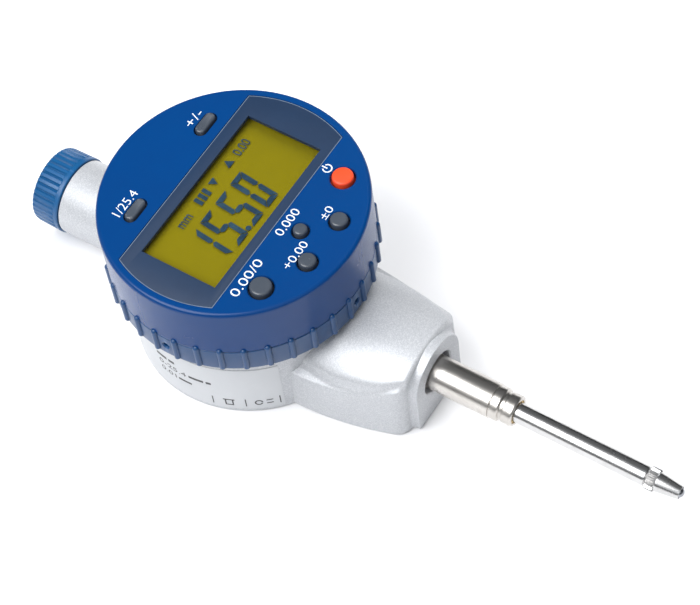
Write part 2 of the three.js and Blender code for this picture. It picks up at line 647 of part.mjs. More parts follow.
function gripRing() {
  const shape = new THREE.Shape();
  const pitch = 2 * Math.PI / RIB_COUNT;
  const seatR = HEAD_R - (RIB_R - RIB_PROUD);
  const halfAngle = Math.asin(Math.sqrt(RIB_R ** 2 - (RIB_R - RIB_PROUD) ** 2) / HEAD_R);
  for (let i = 0; i < RIB_COUNT; i++) {
    const centre = (i + 0.5) * pitch;
    for (let k = -2; k <= 2; k++) {
      const turn = k / 2 * Math.acos((RIB_R - RIB_PROUD) / RIB_R);
      const x = seatR + RIB_R * Math.cos(turn);
      const y = RIB_R * Math.sin(turn);
      const point = new THREE.Vector2(x, y).rotateAround(new THREE.Vector2(), centre);
      if (i === 0 && k === -2) shape.moveTo(point.x, point.y);
      else shape.lineTo(point.x, point.y);
    }
    const next = centre + pitch / 2;
    shape.lineTo(HEAD_R * Math.cos(next), HEAD_R * Math.sin(next));
    const flank = centre + pitch - halfAngle * 1.05;
    shape.lineTo(HEAD_R * Math.cos(flank), HEAD_R * Math.sin(flank));
  }
  const bore = new THREE.Path();
  bore.absarc(0, 0, COLLAR_R + TURN_GAP, 0, 2 * Math.PI, true);
  shape.holes.push(bore);
  const ring = solid(plate(shape, RING_BOTTOM_Z, SEAM_Z, BIG));
  const holes = grubPlaces().map((angle) => solid(grubRod(angle, GRUB_R + GRUB_HOLE_GAP, COLLAR_R - 1, HEAD_R + 2)));
  add('grip_ring', 'ring_blue', geometryOf(cut(ring, ...holes)));
}

const grubPlaces = () => Array.from({ length: GRUB_COUNT }, (_, i) => i * 2 * Math.PI / GRUB_COUNT);

function grubRod(angle, radius, from, to) {
  const geometry = new THREE.CylinderGeometry(radius, radius, to - from, 12);
  geometry.rotateZ(-Math.PI / 2);
  geometry.translate((from + to) / 2, 0, GRUB_Z);
  return geometry.rotateZ(angle);
}

function grubScrews() {
  grubPlaces().forEach((angle, i) => {
    const screw = solid(grubRod(angle, GRUB_R, COLLAR_GROOVE_R + 0.4, HEAD_R - 0.9));
    const socket = solid(grubRod(angle, GRUB_R * 0.5, HEAD_R - 1.9, HEAD_R));
    add(`head_grub_screw_${i + 1}`, 'black_oxide', geometryOf(cut(screw, socket)));
  });
}

function displayFrame() {
  const strip = solid(plate(frameOutline(0), frameTopZ - FRAME_T, frameTopZ, 10));
  const opening = solid(screenBox(0, frameTopZ - FRAME_T - 1, frameTopZ + 1));
  add('display_frame', 'frame_slate', geometryOf(cut(strip, opening)));
}

function displayStack() {
  const lensTop = frameTopZ - FRAME_T - 0.1;
  add('window_lens', 'lens_clear', screenBox(LENS_MARGIN, lensTop - LENS_T, lensTop));
  const [x0, x1] = [SCREEN_LEFT_X - LCD_MARGIN_X, SCREEN_RIGHT_X + LCD_MARGIN_X];
  const [y0, y1] = [SCREEN_BOTTOM_Y - LCD_MARGIN_Y, SCREEN_TOP_Y + LCD_MARGIN_Y];
  add('lcd_glass', 'lcd_olive', box(x0, x1, y0, y1, LCD_FRONT_Z - LCD_T, LCD_FRONT_Z));
  const stripZ = [BOARD_TOP_Z + 0.1, LCD_FRONT_Z - LCD_T - 0.1];
  add('contact_strip_1', 'silicone', box(x0 + 1, x1 - 1, y1 - 1.7, y1 - 0.2, ...stripZ));
  add('contact_strip_2', 'silicone', box(x0 + 1, x1 - 1, y0 + 0.2, y0 + 1.7, ...stripZ));
}

function mainBoard() {
  const disc = solid(rodZ(0, 0, BOARD_R, BOARD_TOP_Z - BOARD_T, BOARD_TOP_Z, 36));
  const holes = postPlaces.map(([x, y]) => solid(rodZ(x, y, 0.85, BOARD_TOP_Z - 3, BOARD_TOP_Z + 1, 12)));
  add('main_board', 'board_green', geometryOf(cut(disc, ...holes)));
  postPlaces.forEach(([x, y], i) => {
    const headZ = BOARD_TOP_Z - BOARD_T - 0.1;
    const screw = turned([[0, headZ - 0.9], [1.4, headZ - 0.9], [1.4, headZ], [0.7, headZ], [0.7, headZ + 4.4],
      [0, headZ + 4.4]], 'Z', 14);
    add(`board_screw_${i + 1}`, 'polished_steel', closed(screw.translate(x, y, 0)));
  });
}

const padTopZ = FLANGE_TOP_Z - BUTTON_FLANGE - BUTTON_TRAVEL - 0.15;

function keypads() {
  const z = [BOARD_TOP_Z + 0.1, padTopZ];
  add('keypad_lower', 'silicone', closed(plate(stadium(0, -19.9, 32.5, 8.6), ...z, 8)));
  LONG_KEYS.forEach((k, i) => {
    add(`keypad_upper_${i + 1}`, 'silicone', closed(plate(stadium(k.x, k.y, KEY_LENGTH + 1.5, 4.4), ...z, 8)));
  });
}

function batteryStack() {
  const roofZ = BOARD_TOP_Z - BOARD_T - 1.2;
  const cell = [roofZ - BATTERY_T - 0.1, roofZ - 0.1];
  const y = BATTERY_CENTRE_Y;
  add('coin_battery', 'polished_steel', closed(rodZ(0, y, BATTERY_R, ...cell, 30)));
  const holder = cut(
    solid(rodZ(0, y, BATTERY_R + 0.75, cell[0] - 0.9, BOARD_TOP_Z - BOARD_T - 0.1, 30)),
    solid(rodZ(0, y, BATTERY_R + 0.15, cell[0] - 0.1, BOARD_TOP_Z, 30)),
    solid(rodZ(0, y, BATTERY_R - 3, cell[0] - 3, cell[0] + 1, 20)),
  );
  add('battery_holder', 'nylon', geometryOf(holder));
}

// ---------------------------------------------------------------- buttons

function roundButton({ name, x, y, r, colour }) {
  const top = FACE_Z + BUTTON_PROUD;
  const e = 0.3;
  const profile = [
    [0, FLANGE_TOP_Z - BUTTON_FLANGE], [r + 1.1, FLANGE_TOP_Z - BUTTON_FLANGE], [r + 1.1, FLANGE_TOP_Z],
    [r, FLANGE_TOP_Z], [r, top - e], [r - e * 0.3, top - e * 0.3], [r - e, top], [0, top],
  ];
  add(name, colour, closed(turned(profile, 'Z', 20).translate(x, y, 0)));
}

function longKey({ name, x, y }) {
  const top = FACE_Z + BUTTON_PROUD * 0.8;
  const flangeZ = [FLANGE_TOP_Z - BUTTON_FLANGE, FLANGE_TOP_Z];
  const flange = solid(plate(stadium(x, y, KEY_LENGTH + 1.8, KEY_WIDTH + 1.8), ...flangeZ, 4));
  const body = solid(plate(stadium(x, y, KEY_LENGTH, KEY_WIDTH), FLANGE_TOP_Z - 0.2, top - 0.3, 6));
  const crown = solid(plate(stadium(x, y, KEY_LENGTH - 0.5, KEY_WIDTH - 0.5), top - 0.5, top, 6));
  add(name, 'key_grey', geometryOf(join(flange, body, crown)));
}

// ---------------------------------------------------------------- dust cap

function dustCap() {
  const inner = TUBE_SPIGOT_R + CAP_GAP;
  const e = 0.6;
  const cap = solid(turned([
    [inner, CAP_Y], [CAP_COLLAR_R, CAP_Y], [CAP_COLLAR_R, CAP_END_Y - e], [CAP_COLLAR_R - e * 0.3, CAP_END_Y - e * 0.3],
    [CAP_COLLAR_R - e, CAP_END_Y], [0, CAP_END_Y], [0, CAP_END_Y - CAP_END_WALL],
    [inner, CAP_END_Y - CAP_END_WALL], [inner, CAP_Y],
  ], 'Y', CAP_FLUTE_COUNT));
  const flutes = Array.from({ length: CAP_FLUTE_COUNT }, (_, i) => {
    const flute = box(CAP_COLLAR_R - 0.3, CAP_COLLAR_R + 1, CAP_Y + 1.1, CAP_END_Y + 1, -0.3, 0.3);
    flute.rotateY(i * 2 * Math.PI / CAP_FLUTE_COUNT);
    return solid(flute.translate(0, 0, AXIS_Z));
  });
  add('dust_cap', 'ring_blue', geometryOf(cut(cap, ...flutes)));
}

// ---------------------------------------------------------------- assembly

castBody();
backCover();
coverScrews();
label();
stem();
bush('lower_bush', bushR, lowerBushY);
bush('upper_bush', bushR, upperBushY);
bush('rear_bush', rearBushR, rearBushY);
spindle();
contactPoint();
contactBall();
carriage();
scaleStrip();
guidePin();
guideRail();
returnSpring();
readerBoard();
ribbonCable();
headShell();
gripRing();
grubScrews();
displayFrame();
displayStack();
mainBoard();
keypads();
batteryStack();
ROUND_BUTTONS.forEach(roundButton);
LONG_KEYS.forEach(longKey);
dustCap();

export default model;
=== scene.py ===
import json
import math

import bpy
from mathutils import Matrix, Vector


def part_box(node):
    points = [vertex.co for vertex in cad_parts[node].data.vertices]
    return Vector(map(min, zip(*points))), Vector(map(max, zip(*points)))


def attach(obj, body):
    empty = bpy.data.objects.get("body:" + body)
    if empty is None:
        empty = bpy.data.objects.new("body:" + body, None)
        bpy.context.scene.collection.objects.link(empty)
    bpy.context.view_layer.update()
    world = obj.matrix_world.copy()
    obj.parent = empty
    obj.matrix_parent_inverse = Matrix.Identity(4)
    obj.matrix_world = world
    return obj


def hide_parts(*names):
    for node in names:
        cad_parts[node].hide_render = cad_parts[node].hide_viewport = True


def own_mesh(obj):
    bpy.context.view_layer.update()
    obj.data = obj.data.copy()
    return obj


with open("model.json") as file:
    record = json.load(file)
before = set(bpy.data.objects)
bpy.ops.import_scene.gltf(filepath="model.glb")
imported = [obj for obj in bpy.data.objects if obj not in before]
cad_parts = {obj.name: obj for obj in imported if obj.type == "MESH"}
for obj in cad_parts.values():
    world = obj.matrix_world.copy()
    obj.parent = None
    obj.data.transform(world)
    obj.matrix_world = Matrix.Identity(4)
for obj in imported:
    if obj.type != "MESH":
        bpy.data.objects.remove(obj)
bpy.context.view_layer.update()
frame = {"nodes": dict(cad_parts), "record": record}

# Digital dial indicator, lying on its back: +Z out of the display, -Y along the stem.
# Pieces are shaped in millimetres and brought to metres when they are placed.
MM = 0.001
FULL_TURN = 2 * math.pi


def span(node):
    low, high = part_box(node)
    return low / MM, high / MM


# -------- sizes taken from the frame

shell_low, shell_high = span("head_shell")
HEAD_R = shell_high.x
FACE_Z = shell_high.z
SEAM_Z = shell_low.z
RING_BOTTOM_Z = span("grip_ring")[0].z
body_low, body_high = span("cast_body")
cover_high = span("back_cover")[1]
COVER_R = cover_high.x
COVER_TOP_Z = cover_high.z
stem_low, stem_high = span("stem")
AXIS_Z = (stem_low.z + stem_high.z) / 2
STEM_R = (stem_high.z - stem_low.z) / 2
STEM_END_Y = stem_low.y
STEM_INNER_Y = stem_high.y
spindle_low, spindle_high = span("spindle")
SPINDLE_R = (spindle_high.z - spindle_low.z) / 2
NOSE_Y = spindle_low.y
cap_low, cap_high = span("dust_cap")
CAP_R = cap_high.x
CAP_Y = cap_low.y
CAP_END_Y = cap_high.y
BOSS_FACE_Y = body_low.y
TUBE_END_Y = body_high.y
LCD_Z = span("lcd_glass")[1].z
frame_low, frame_high = span("display_frame")
FRAME_TOP_Z = frame_high.z
label_low, label_high = span("wrap_label")
ball_low, ball_high = span("contact_ball")

# The cup under the head, the shoulder block's front and the rear tube.
CUP_INSET = 2.54
CUP_GAP = 0.4
CUP_BAND = 3.9
CUP_WALL = 3.46
CUP_ROOF = 2
BOSS_REACH = 1.8
CAP_OVERLAP = 0.33
BASE_R = HEAD_R - CUP_INSET
BASE_TOP_Z = RING_BOTTOM_Z - CUP_GAP
BASE_BAND_Z = BASE_TOP_Z - CUP_BAND
BASE_BORE_R = BASE_R - CUP_WALL
FRONT_Y = BOSS_FACE_Y + BOSS_REACH
TUBE_R = CAP_R - CAP_OVERLAP
AXIS_CENTRE = (0, 0, AXIS_Z)


# -------- modelling helpers

MERGE_DISTANCE = 1e-4
STRAIGHT_ANGLE = math.radians(172)      # corners flatter than this stay as they are
ROUNDING_SHARE = 0.4                    # most of an edge that one rounded corner may take


def rest_selection():
    if bpy.context.object and bpy.context.object.mode != "OBJECT":
        bpy.ops.object.mode_set(mode="OBJECT")
    bpy.ops.object.select_all(action="DESELECT")


def pick(piece):
    rest_selection()
    piece.select_set(True)
    bpy.context.view_layer.objects.active = piece


def edit_all(piece):
    pick(piece)
    bpy.ops.object.mode_set(mode="EDIT")
    bpy.ops.mesh.select_mode(type="VERT")
    bpy.ops.mesh.select_all(action="SELECT")


def leave_edit():
    """Turns every face outwards and goes back to object mode."""
    bpy.ops.mesh.select_all(action="SELECT")
    bpy.ops.mesh.normals_make_consistent(inside=False)
    bpy.ops.object.mode_set(mode="OBJECT")


def outline(points):
    """A closed ring of edges through the given points."""
    rest_selection()
    bpy.ops.mesh.primitive_circle_add(vertices=len(points), radius=1, location=(0, 0, 0))
    ring = bpy.context.object
    for vertex, point in zip(ring.data.vertices, points):
        vertex.co = point
    return ring


def turned(profile, axis="Z", centre=(0, 0, 0), steps=96):
    """A profile of (radius, height) pairs spun once round its axis."""
    centre = Vector(centre)
    if axis == "Z":
        points = [centre + Vector((r, 0, h)) for r, h in profile]
        direction = (0, 0, 1)
    elif axis == "Y":
        points = [Vector((centre.x + r, h, centre.z)) for r, h in profile]
        direction = (0, 1, 0)
    else:
        points = [Vector((h, centre.y + r, centre.z)) for r, h in profile]
        direction = (1, 0, 0)
    piece = outline(points)
    edit_all(piece)
    bpy.ops.mesh.spin(steps=steps, angle=FULL_TURN, center=centre, axis=direction)
    bpy.ops.mesh.select_all(action="SELECT")
    bpy.ops.mesh.remove_doubles(threshold=MERGE_DISTANCE)
    bpy.ops.mesh.delete_loose(use_verts=True, use_edges=True, use_faces=False)
    leave_edit()
    return piece


def on_axis(profile, steps):
    """A profile of (radius, y) pairs spun round the spindle's axis."""
    return turned(profile, "Y", AXIS_CENTRE, steps)


def plate(points, z0, z1):
    """A flat outline of (x, y) pairs, filled and raised."""
    piece = outline([(x, y, z0) for x, y in points])
    edit_all(piece)
    bpy.ops.mesh.edge_face_add()
    bpy.ops.mesh.extrude_region_move(TRANSFORM_OT_translate={"value": (0, 0, z1 - z0)})
    leave_edit()
    return piece


def shaped_grid(columns, rows, place, closed=False):
    """A grid primitive whose points go where place(u, v) says; a closed one is sewn and capped."""
    rest_selection()
    bpy.ops.mesh.primitive_grid_add(x_subdivisions=columns, y_subdivisions=rows, size=2,
                                    location=(0, 0, 0))
    piece = bpy.context.object
    for vertex in piece.data.vertices:
        vertex.co = place((vertex.co.x + 1) / 2, (vertex.co.y + 1) / 2)
    edit_all(piece)
    bpy.ops.mesh.remove_doubles(threshold=MERGE_DISTANCE)
    if closed:
        bpy.ops.mesh.fill_holes(sides=0)
    leave_edit()
    return piece


def apply_modifier(piece, kind, **settings):
    pick(piece)
    bpy.ops.object.modifier_add(type=kind)
    modifier = piece.modifiers[-1]
    for key, value in settings.items():
        setattr(modifier, key, value)
    bpy.ops.object.modifier_apply(modifier=modifier.name)


def boolean(piece, operation, *tools):
    for tool in tools:
        apply_modifier(piece, "BOOLEAN", operation=operation, object=tool, solver="EXACT")
        bpy.data.objects.remove(tool)
    return piece


def cut(piece, *tools):
    return boolean(piece, "DIFFERENCE", *tools)


def weld(piece, *others):
    return boolean(piece, "UNION", *others)


def soften(piece, width, segments=3, angle=40):
    apply_modifier(piece, "BEVEL", width=width, segments=segments, limit_method="ANGLE",
                   angle_limit=math.radians(angle), miter_outer="MITER_ARC")
    return piece


def joined(pieces):
    rest_selection()
    for piece in pieces:
        piece.select_set(True)
    bpy.context.view_layer.objects.active = pieces[0]
    bpy.ops.object.join()
    return pieces[0]


def copies(piece, placements):
    """The piece repeated once per matrix, each copy with its own mesh, all joined."""
    parts = []
    for matrix in placements:
        twin = piece.copy()
        twin.data = piece.data.copy()
        bpy.context.scene.collection.objects.link(twin)
        twin.data.transform(matrix)
        parts.append(twin)
    bpy.data.objects.remove(piece)
    return joined(parts)


def settle(piece, name, body, material, stands_for=(), angle=35):
    """Millimetres to metres, smooth shading, name, finish and the body it rides on."""
    pick(piece)
    piece.scale = (MM, MM, MM)
    bpy.ops.object.transform_apply(location=True, rotation=True, scale=True)
    bpy.ops.object.shade_smooth_by_angle(angle=math.radians(angle))
    piece.name = name
    piece.data.name = name
    piece.data.materials.clear()
    piece.data.materials.append(material)
    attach(piece, body)
    if stands_for:
        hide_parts(*stands_for)
    return piece


def corner(start, middle, end, steps=4):
    """Points that round a corner from start to end."""
    points = []
    for k in range(steps + 1):
        t = k / steps
        points.append(tuple((1 - t) ** 2 * a + 2 * t * (1 - t) * b + t * t * c
                            for a, b, c in zip(start, middle, end)))
    return points


def eased(profile, radius=0.15, steps=3):
    """The closed profile with each corner rounded, except those on the axis."""
    count = len(profile)
    points = []
    for k, here in enumerate(profile):
        before = Vector(profile[k - 1]) - Vector(here)
        after = Vector(profile[(k + 1) % count]) - Vector(here)
        size = min(radius, before.length * ROUNDING_SHARE, after.length * ROUNDING_SHARE)
        if here[0] < 1e-6 or size < 1e-3 or before.angle(after) > STRAIGHT_ANGLE:
            points.append(here)
            continue
        first = Vector(here) + before.normalized() * size
        last = Vector(here) + after.normalized() * size
        points += corner(first, here, last, steps)
    return points


def arc(cx, cy, radius, start, end, steps):
    """Points round a centre, from one angle in degrees to another."""
    turns = [math.radians(start + (end - start) * k / steps) for k in range(steps + 1)]
    return [(cx + radius * math.cos(turn), cy + radius * math.sin(turn)) for turn in turns]


def box_points(x0, x1, y0, y1):
    return [(x0, y0), (x1, y0), (x1, y1), (x0, y1)]


def smooth_value(knots, at):
    """Catmull-Rom curve through (position, value) knots, positions falling."""
    for k in range(len(knots) - 1):
        (p1, v1), (p2, v2) = knots[k], knots[k + 1]
        if at >= p2 or k == len(knots) - 2:
            v0 = knots[k - 1][1] if k else v1
            v3 = knots[k + 2][1] if k + 2 < len(knots) else v2
            t = max(0.0, min(1.0, (at - p1) / (p2 - p1)))
            return 0.5 * (2 * v1 + (v2 - v0) * t + (2 * v0 - 5 * v1 + 4 * v2 - v3) * t ** 2
                          + (3 * v1 - v0 - 3 * v2 + v3) * t ** 3)
    return knots[-1][1]


def sunk(piece, from_radius, depth_at):
    """Moves points beyond a radius in towards the spindle's axis by depth_at(y, turn)."""
    for vertex in piece.data.vertices:
        radius = math.hypot(vertex.co.x, vertex.co.z - AXIS_Z)
        if radius < from_radius:
            continue
        turn = math.atan2(vertex.co.z - AXIS_Z, vertex.co.x)
        less = 1 - depth_at(vertex.co.y, turn) / radius
        vertex.co.x *= less
        vertex.co.z = AXIS_Z + (vertex.co.z - AXIS_Z) * less


# -------- shared effects

def effect(name, inputs, outputs):
    tree = bpy.data.node_groups.new(name, "ShaderNodeTree")
    for label, kind, value in inputs:
        socket = tree.interface.new_socket(name=label, in_out="INPUT", socket_type=kind)
        if value is not None:
            socket.default_value = value
    for label, kind in outputs:
        tree.interface.new_socket(name=label, in_out="OUTPUT", socket_type=kind)
    return tree, tree.nodes.new("NodeGroupInput"), tree.nodes.new("NodeGroupOutput")


def node(tree, kind, links=(), **settings):
    item = tree.nodes.new(kind)
    for key, value in settings.items():
        setattr(item, key, value)
    for socket, source in links:
        if hasattr(source, "is_output"):
            tree.links.new(source, item.inputs[socket])
        else:
            item.inputs[socket].default_value = source
    return item


def times(tree, first, second, **settings):
    links = [(0, first), (1, second)]
    return node(tree, "ShaderNodeMath", links, operation="MULTIPLY", **settings).outputs["Value"]


def ramp(tree, value, start, end, to_start=0.0, to_end=1.0, **settings):
    """Carries a value from one range to another."""
    links = [("Value", value), ("From Min", start), ("From Max", end), ("To Min", to_start),
             ("To Max", to_end)]
    return node(tree, "ShaderNodeMapRange", links, **settings).outputs["Result"]


def noise(tree, place, scale, detail, roughness=0.5):
    links = [("Vector", place), ("Scale", scale), ("Detail", detail), ("Roughness", roughness)]
    return node(tree, "ShaderNodeTexNoise", links).outputs["Fac"]


def grain_effect():
    """Fine moulded or blasted texture: a height and a broad, even mottle."""
    tree, given, out = effect("fine_grain", [
        ("Place", "NodeSocketVector", None), ("Scale", "NodeSocketFloat", 6000.0),
        ("Broad Scale", "NodeSocketFloat", 120.0),
    ], [("Height", "NodeSocketFloat"), ("Mottle", "NodeSocketFloat")])
    place = given.outputs["Place"]
    fine = noise(tree, place, given.outputs["Scale"], 3.0, 0.6)
    broad = noise(tree, place, given.outputs["Broad Scale"], 5.0, 0.65)
    tree.links.new(fine, out.inputs["Height"])
    tree.links.new(ramp(tree, broad, 0.35, 0.65), out.inputs["Mottle"])
    return tree


def flake_effect():
    """Metal flakes in paint: small cells, each with its own brightness and tilt."""
    tree, given, out = effect("paint_flakes", [
        ("Place", "NodeSocketVector", None), ("Scale", "NodeSocketFloat", 9000.0),
    ], [("Flake", "NodeSocketFloat"), ("Height", "NodeSocketFloat")])
    cells = node(tree, "ShaderNodeTexVoronoi", [("Vector", given.outputs["Place"]),
                                                ("Scale", given.outputs["Scale"])])
    parts = node(tree, "ShaderNodeSeparateColor", [("Color", cells.outputs["Color"])])
    tree.links.new(ramp(tree, parts.outputs["Red"], 0.35, 1.0), out.inputs["Flake"])
    tree.links.new(parts.outputs["Green"], out.inputs["Height"])
    return tree


def wear_effect():
    """Rubbed edges: where the surface turns sharply outwards, broken up by noise."""
    tree, given, out = effect("rubbed_edges", [
        ("Place", "NodeSocketVector", None), ("Amount", "NodeSocketFloat", 0.5),
        ("Scale", "NodeSocketFloat", 900.0),
    ], [("Mask", "NodeSocketFloat")])
    shape = node(tree, "ShaderNodeNewGeometry")
    edge = ramp(tree, shape.outputs["Pointiness"], 0.56, 0.66)
    breaks = noise(tree, given.outputs["Place"], given.outputs["Scale"], 4.0)
    mask = times(tree, times(tree, edge, breaks), given.outputs["Amount"], use_clamp=True)
    tree.links.new(mask, out.inputs["Mask"])
    return tree


def turning_effect():
    """Tool marks round a turned part: fine rings along its axis."""
    tree, given, out = effect("turning_marks", [
        ("Place", "NodeSocketVector", None), ("Scale", "NodeSocketFloat", 9000.0),
    ], [("Rings", "NodeSocketFloat")])
    along = node(tree, "ShaderNodeVectorMath",
                 [(0, given.outputs["Place"]), (1, (0.02, 1.0, 0.02))],
                 operation="MULTIPLY")
    rings = noise(tree, along.outputs["Vector"], given.outputs["Scale"], 2.0)
    tree.links.new(rings, out.inputs["Rings"])
    return tree


GRAIN = grain_effect()
FLAKES = flake_effect()
WEAR = wear_effect()
TURNING = turning_effect()


# -------- finishes

def finish(name, light, dark, rough, metallic=0.0, coat=0.0, grain=6000, broad=120, bump=0.1,
           depth=0.02, worn=None, wear=0.5, flakes=0.0, rings=0, specular=0.5, alpha=1.0):
    """A surface that drifts between two colours and glosses, with relief and rubbed edges."""
    material = bpy.data.materials.new(name)
    material.use_nodes = True
    tree = material.node_tree
    shader = tree.nodes["Principled BSDF"]
    shader.inputs["Metallic"].default_value = metallic
    shader.inputs["Coat Weight"].default_value = coat
    shader.inputs["Coat Roughness"].default_value = 0.06
    shader.inputs["Specular IOR Level"].default_value = specular
    shader.inputs["Alpha"].default_value = alpha
    place = node(tree, "ShaderNodeTexCoord").outputs["Object"]

    def shared(group, **values):
        item = node(tree, "ShaderNodeGroup", node_tree=group)
        tree.links.new(place, item.inputs["Place"])
        for key, value in values.items():
            item.inputs[key.replace("_", " ")].default_value = value
        return item

    def blend(mask, first, second):
        item = node(tree, "ShaderNodeMix", data_type="RGBA")
        tree.links.new(mask, item.inputs["Factor"])
        for socket, source in ((item.inputs[6], first), (item.inputs[7], second)):
            if hasattr(source, "is_output"):
                tree.links.new(source, socket)
            else:
                socket.default_value = (*source, 1)
        return item.outputs[2]

    texture = shared(GRAIN, Scale=grain, Broad_Scale=broad)
    colour = blend(texture.outputs["Mottle"], light, dark)
    height = texture.outputs["Height"]
    if flakes:
        flake = shared(FLAKES, Scale=grain)
        lit = times(tree, flake.outputs["Flake"], flakes)
        colour = blend(lit, colour, (1.0, 1.0, 1.0))
        height = flake.outputs["Height"]
    if rings:
        height = shared(TURNING, Scale=rings).outputs["Rings"]
    if worn:
        edges = shared(WEAR, Amount=wear)
        colour = blend(edges.outputs["Mask"], colour, worn)
    tree.links.new(colour, shader.inputs["Base Color"])
    gloss = ramp(tree, texture.outputs["Mottle"], 0.0, 1.0, *rough)
    tree.links.new(gloss, shader.inputs["Roughness"])
    relief = node(tree, "ShaderNodeBump", [("Strength", bump), ("Distance", depth * MM),
                                           ("Height", height)])
    tree.links.new(relief.outputs["Normal"], shader.inputs["Normal"])
    return material


SILVER_PAINT = finish("silver_paint", (0.44, 0.455, 0.48), (0.42, 0.435, 0.46), (0.42, 0.5),
                      metallic=0.3, coat=0.05, grain=7500, broad=60, bump=0.14, depth=0.02,
                      flakes=0.3)
HEAD_BLUE = finish("head_blue_gloss", (0.0, 0.038, 0.160), (0.0, 0.034, 0.148), (0.22, 0.28),
                   coat=0.03, grain=4000, broad=40, bump=0.03, depth=0.02, specular=0.22)
GRIP_BLUE = finish("grip_blue_satin", (0.002, 0.046, 0.150), (0.001, 0.042, 0.138), (0.28, 0.36),
                   coat=0.05, grain=5200, broad=70, bump=0.22, depth=0.03, worn=(0.16, 0.28, 0.5),
                   wear=0.5)
CAP_BLUE = finish("cap_blue_satin", (0.006, 0.084, 0.225), (0.004, 0.074, 0.205), (0.32, 0.42),
                  grain=5200, broad=90, bump=0.22, depth=0.03, worn=(0.16, 0.28, 0.5), wear=0.5)
FRAME_SLATE = finish("frame_slate_satin", (0.015, 0.032, 0.070), (0.013, 0.028, 0.062), (0.42, 0.5),
                     grain=8000, broad=90, bump=0.25, depth=0.02, specular=0.35)
# Painted highlight: a lighter blue-grey for a thin ring round the frame, standing in for the light
# its edge catches.
FRAME_EDGE_HIGHLIGHT = finish("frame_edge_painted_highlight", (0.14, 0.18, 0.25), (0.11, 0.15, 0.22), (0.3, 0.4),
                    grain=8000, broad=300, bump=0.1, depth=0.01)
DISPLAY_OLIVE = finish("display_olive", (0.20, 0.166, 0.0), (0.182, 0.151, 0.0), (0.4, 0.5),
                       grain=9000, broad=30, bump=0.02, depth=0.01, specular=0.15)
SEGMENT_INK = finish("segment_ink", (0.010, 0.028, 0.055), (0.022, 0.060, 0.095), (0.3, 0.4),
                     grain=9000, broad=200, bump=0.02, depth=0.01)
WINDOW = finish("window_clear", (0.02, 0.025, 0.025), (0.018, 0.022, 0.022), (0.03, 0.05),
                grain=500, broad=40, bump=0.01, depth=0.01, alpha=0.06, specular=0.3)
KEY_GREY = finish("key_grey_satin", (0.052, 0.063, 0.081), (0.046, 0.056, 0.072), (0.2, 0.28),
                  grain=7000, broad=150, bump=0.12, depth=0.025, worn=(0.2, 0.21, 0.23), wear=0.4)
POWER_RED = finish("power_red_satin", (0.78, 0.066, 0.018), (0.73, 0.06, 0.016), (0.36, 0.46),
                   grain=7000, broad=150, bump=0.22, depth=0.025)
PRINT_WHITE = finish("print_white", (0.70, 0.73, 0.76), (0.64, 0.67, 0.71), (0.45, 0.55),
                     grain=9000, broad=500, bump=0.1, depth=0.01)
PRINT_DARK = finish("print_dark", (0.03, 0.03, 0.035), (0.05, 0.05, 0.055), (0.45, 0.55),
                    grain=9000, broad=500, bump=0.1, depth=0.01)
POLISHED = finish("polished_steel", (0.66, 0.655, 0.65), (0.58, 0.575, 0.57), (0.2, 0.28),
                  metallic=1.0, broad=200, bump=0.12, depth=0.01, rings=14000)
GROUND = finish("ground_steel", (0.66, 0.635, 0.60), (0.58, 0.555, 0.52), (0.26, 0.34),
                metallic=1.0, broad=200, bump=0.14, depth=0.012, rings=9000)
CARBIDE = finish("carbide_ball", (0.32, 0.33, 0.35), (0.27, 0.28, 0.30), (0.18, 0.26), metallic=1.0,
                 broad=500, bump=0.05, depth=0.01)
BRASS = finish("turned_brass", (0.76, 0.56, 0.26), (0.66, 0.47, 0.20), (0.22, 0.32), metallic=1.0,
               broad=300, bump=0.15, depth=0.01, rings=8000)
BLACKED = finish("blackened_screw", (0.022, 0.022, 0.024), (0.035, 0.035, 0.038), (0.4, 0.5),
                 metallic=0.6, broad=400)
BOARD = finish("circuit_board", (0.012, 0.10, 0.045), (0.010, 0.08, 0.036), (0.35, 0.5), grain=3000,
               broad=300)
SILICONE = finish("silicone_pad", (0.045, 0.048, 0.055), (0.035, 0.038, 0.044), (0.6, 0.75),
                  broad=200)
NYLON = finish("black_nylon", (0.022, 0.024, 0.028), (0.030, 0.032, 0.036), (0.45, 0.6), broad=200)
LABEL_FILM = finish("label_film", (0.54, 0.555, 0.575), (0.515, 0.53, 0.55), (0.3, 0.38), coat=0.1,
                    grain=3000, broad=50, bump=0.06, depth=0.02)
SPRING = finish("spring_wire", (0.36, 0.36, 0.37), (0.28, 0.28, 0.29), (0.25, 0.35), metallic=1.0,
                broad=800)
RIBBON = finish("ribbon_amber", (0.40, 0.16, 0.025), (0.34, 0.13, 0.02), (0.3, 0.4), broad=300)

SLOT_FINISH = {
    "casting": SILVER_PAINT, "head_blue": HEAD_BLUE, "ring_blue": GRIP_BLUE,
    "frame_slate": FRAME_SLATE, "lens_clear": WINDOW, "lcd_olive": DISPLAY_OLIVE,
    "key_grey": KEY_GREY, "power_red": POWER_RED, "polished_steel": POLISHED, "carbide": CARBIDE,
    "brass": BRASS, "black_oxide": BLACKED, "board_green": BOARD, "silicone": SILICONE,
    "nylon": NYLON, "label_white": LABEL_FILM, "spring_steel": SPRING, "ribbon_amber": RIBBON,
}
for part in frame["record"]["subparts"]:
    holder = frame["nodes"][part["node"]]
    holder.data.materials.clear()
    holder.data.materials.append(SLOT_FINISH[part["material_slot"]])


# -------- casting

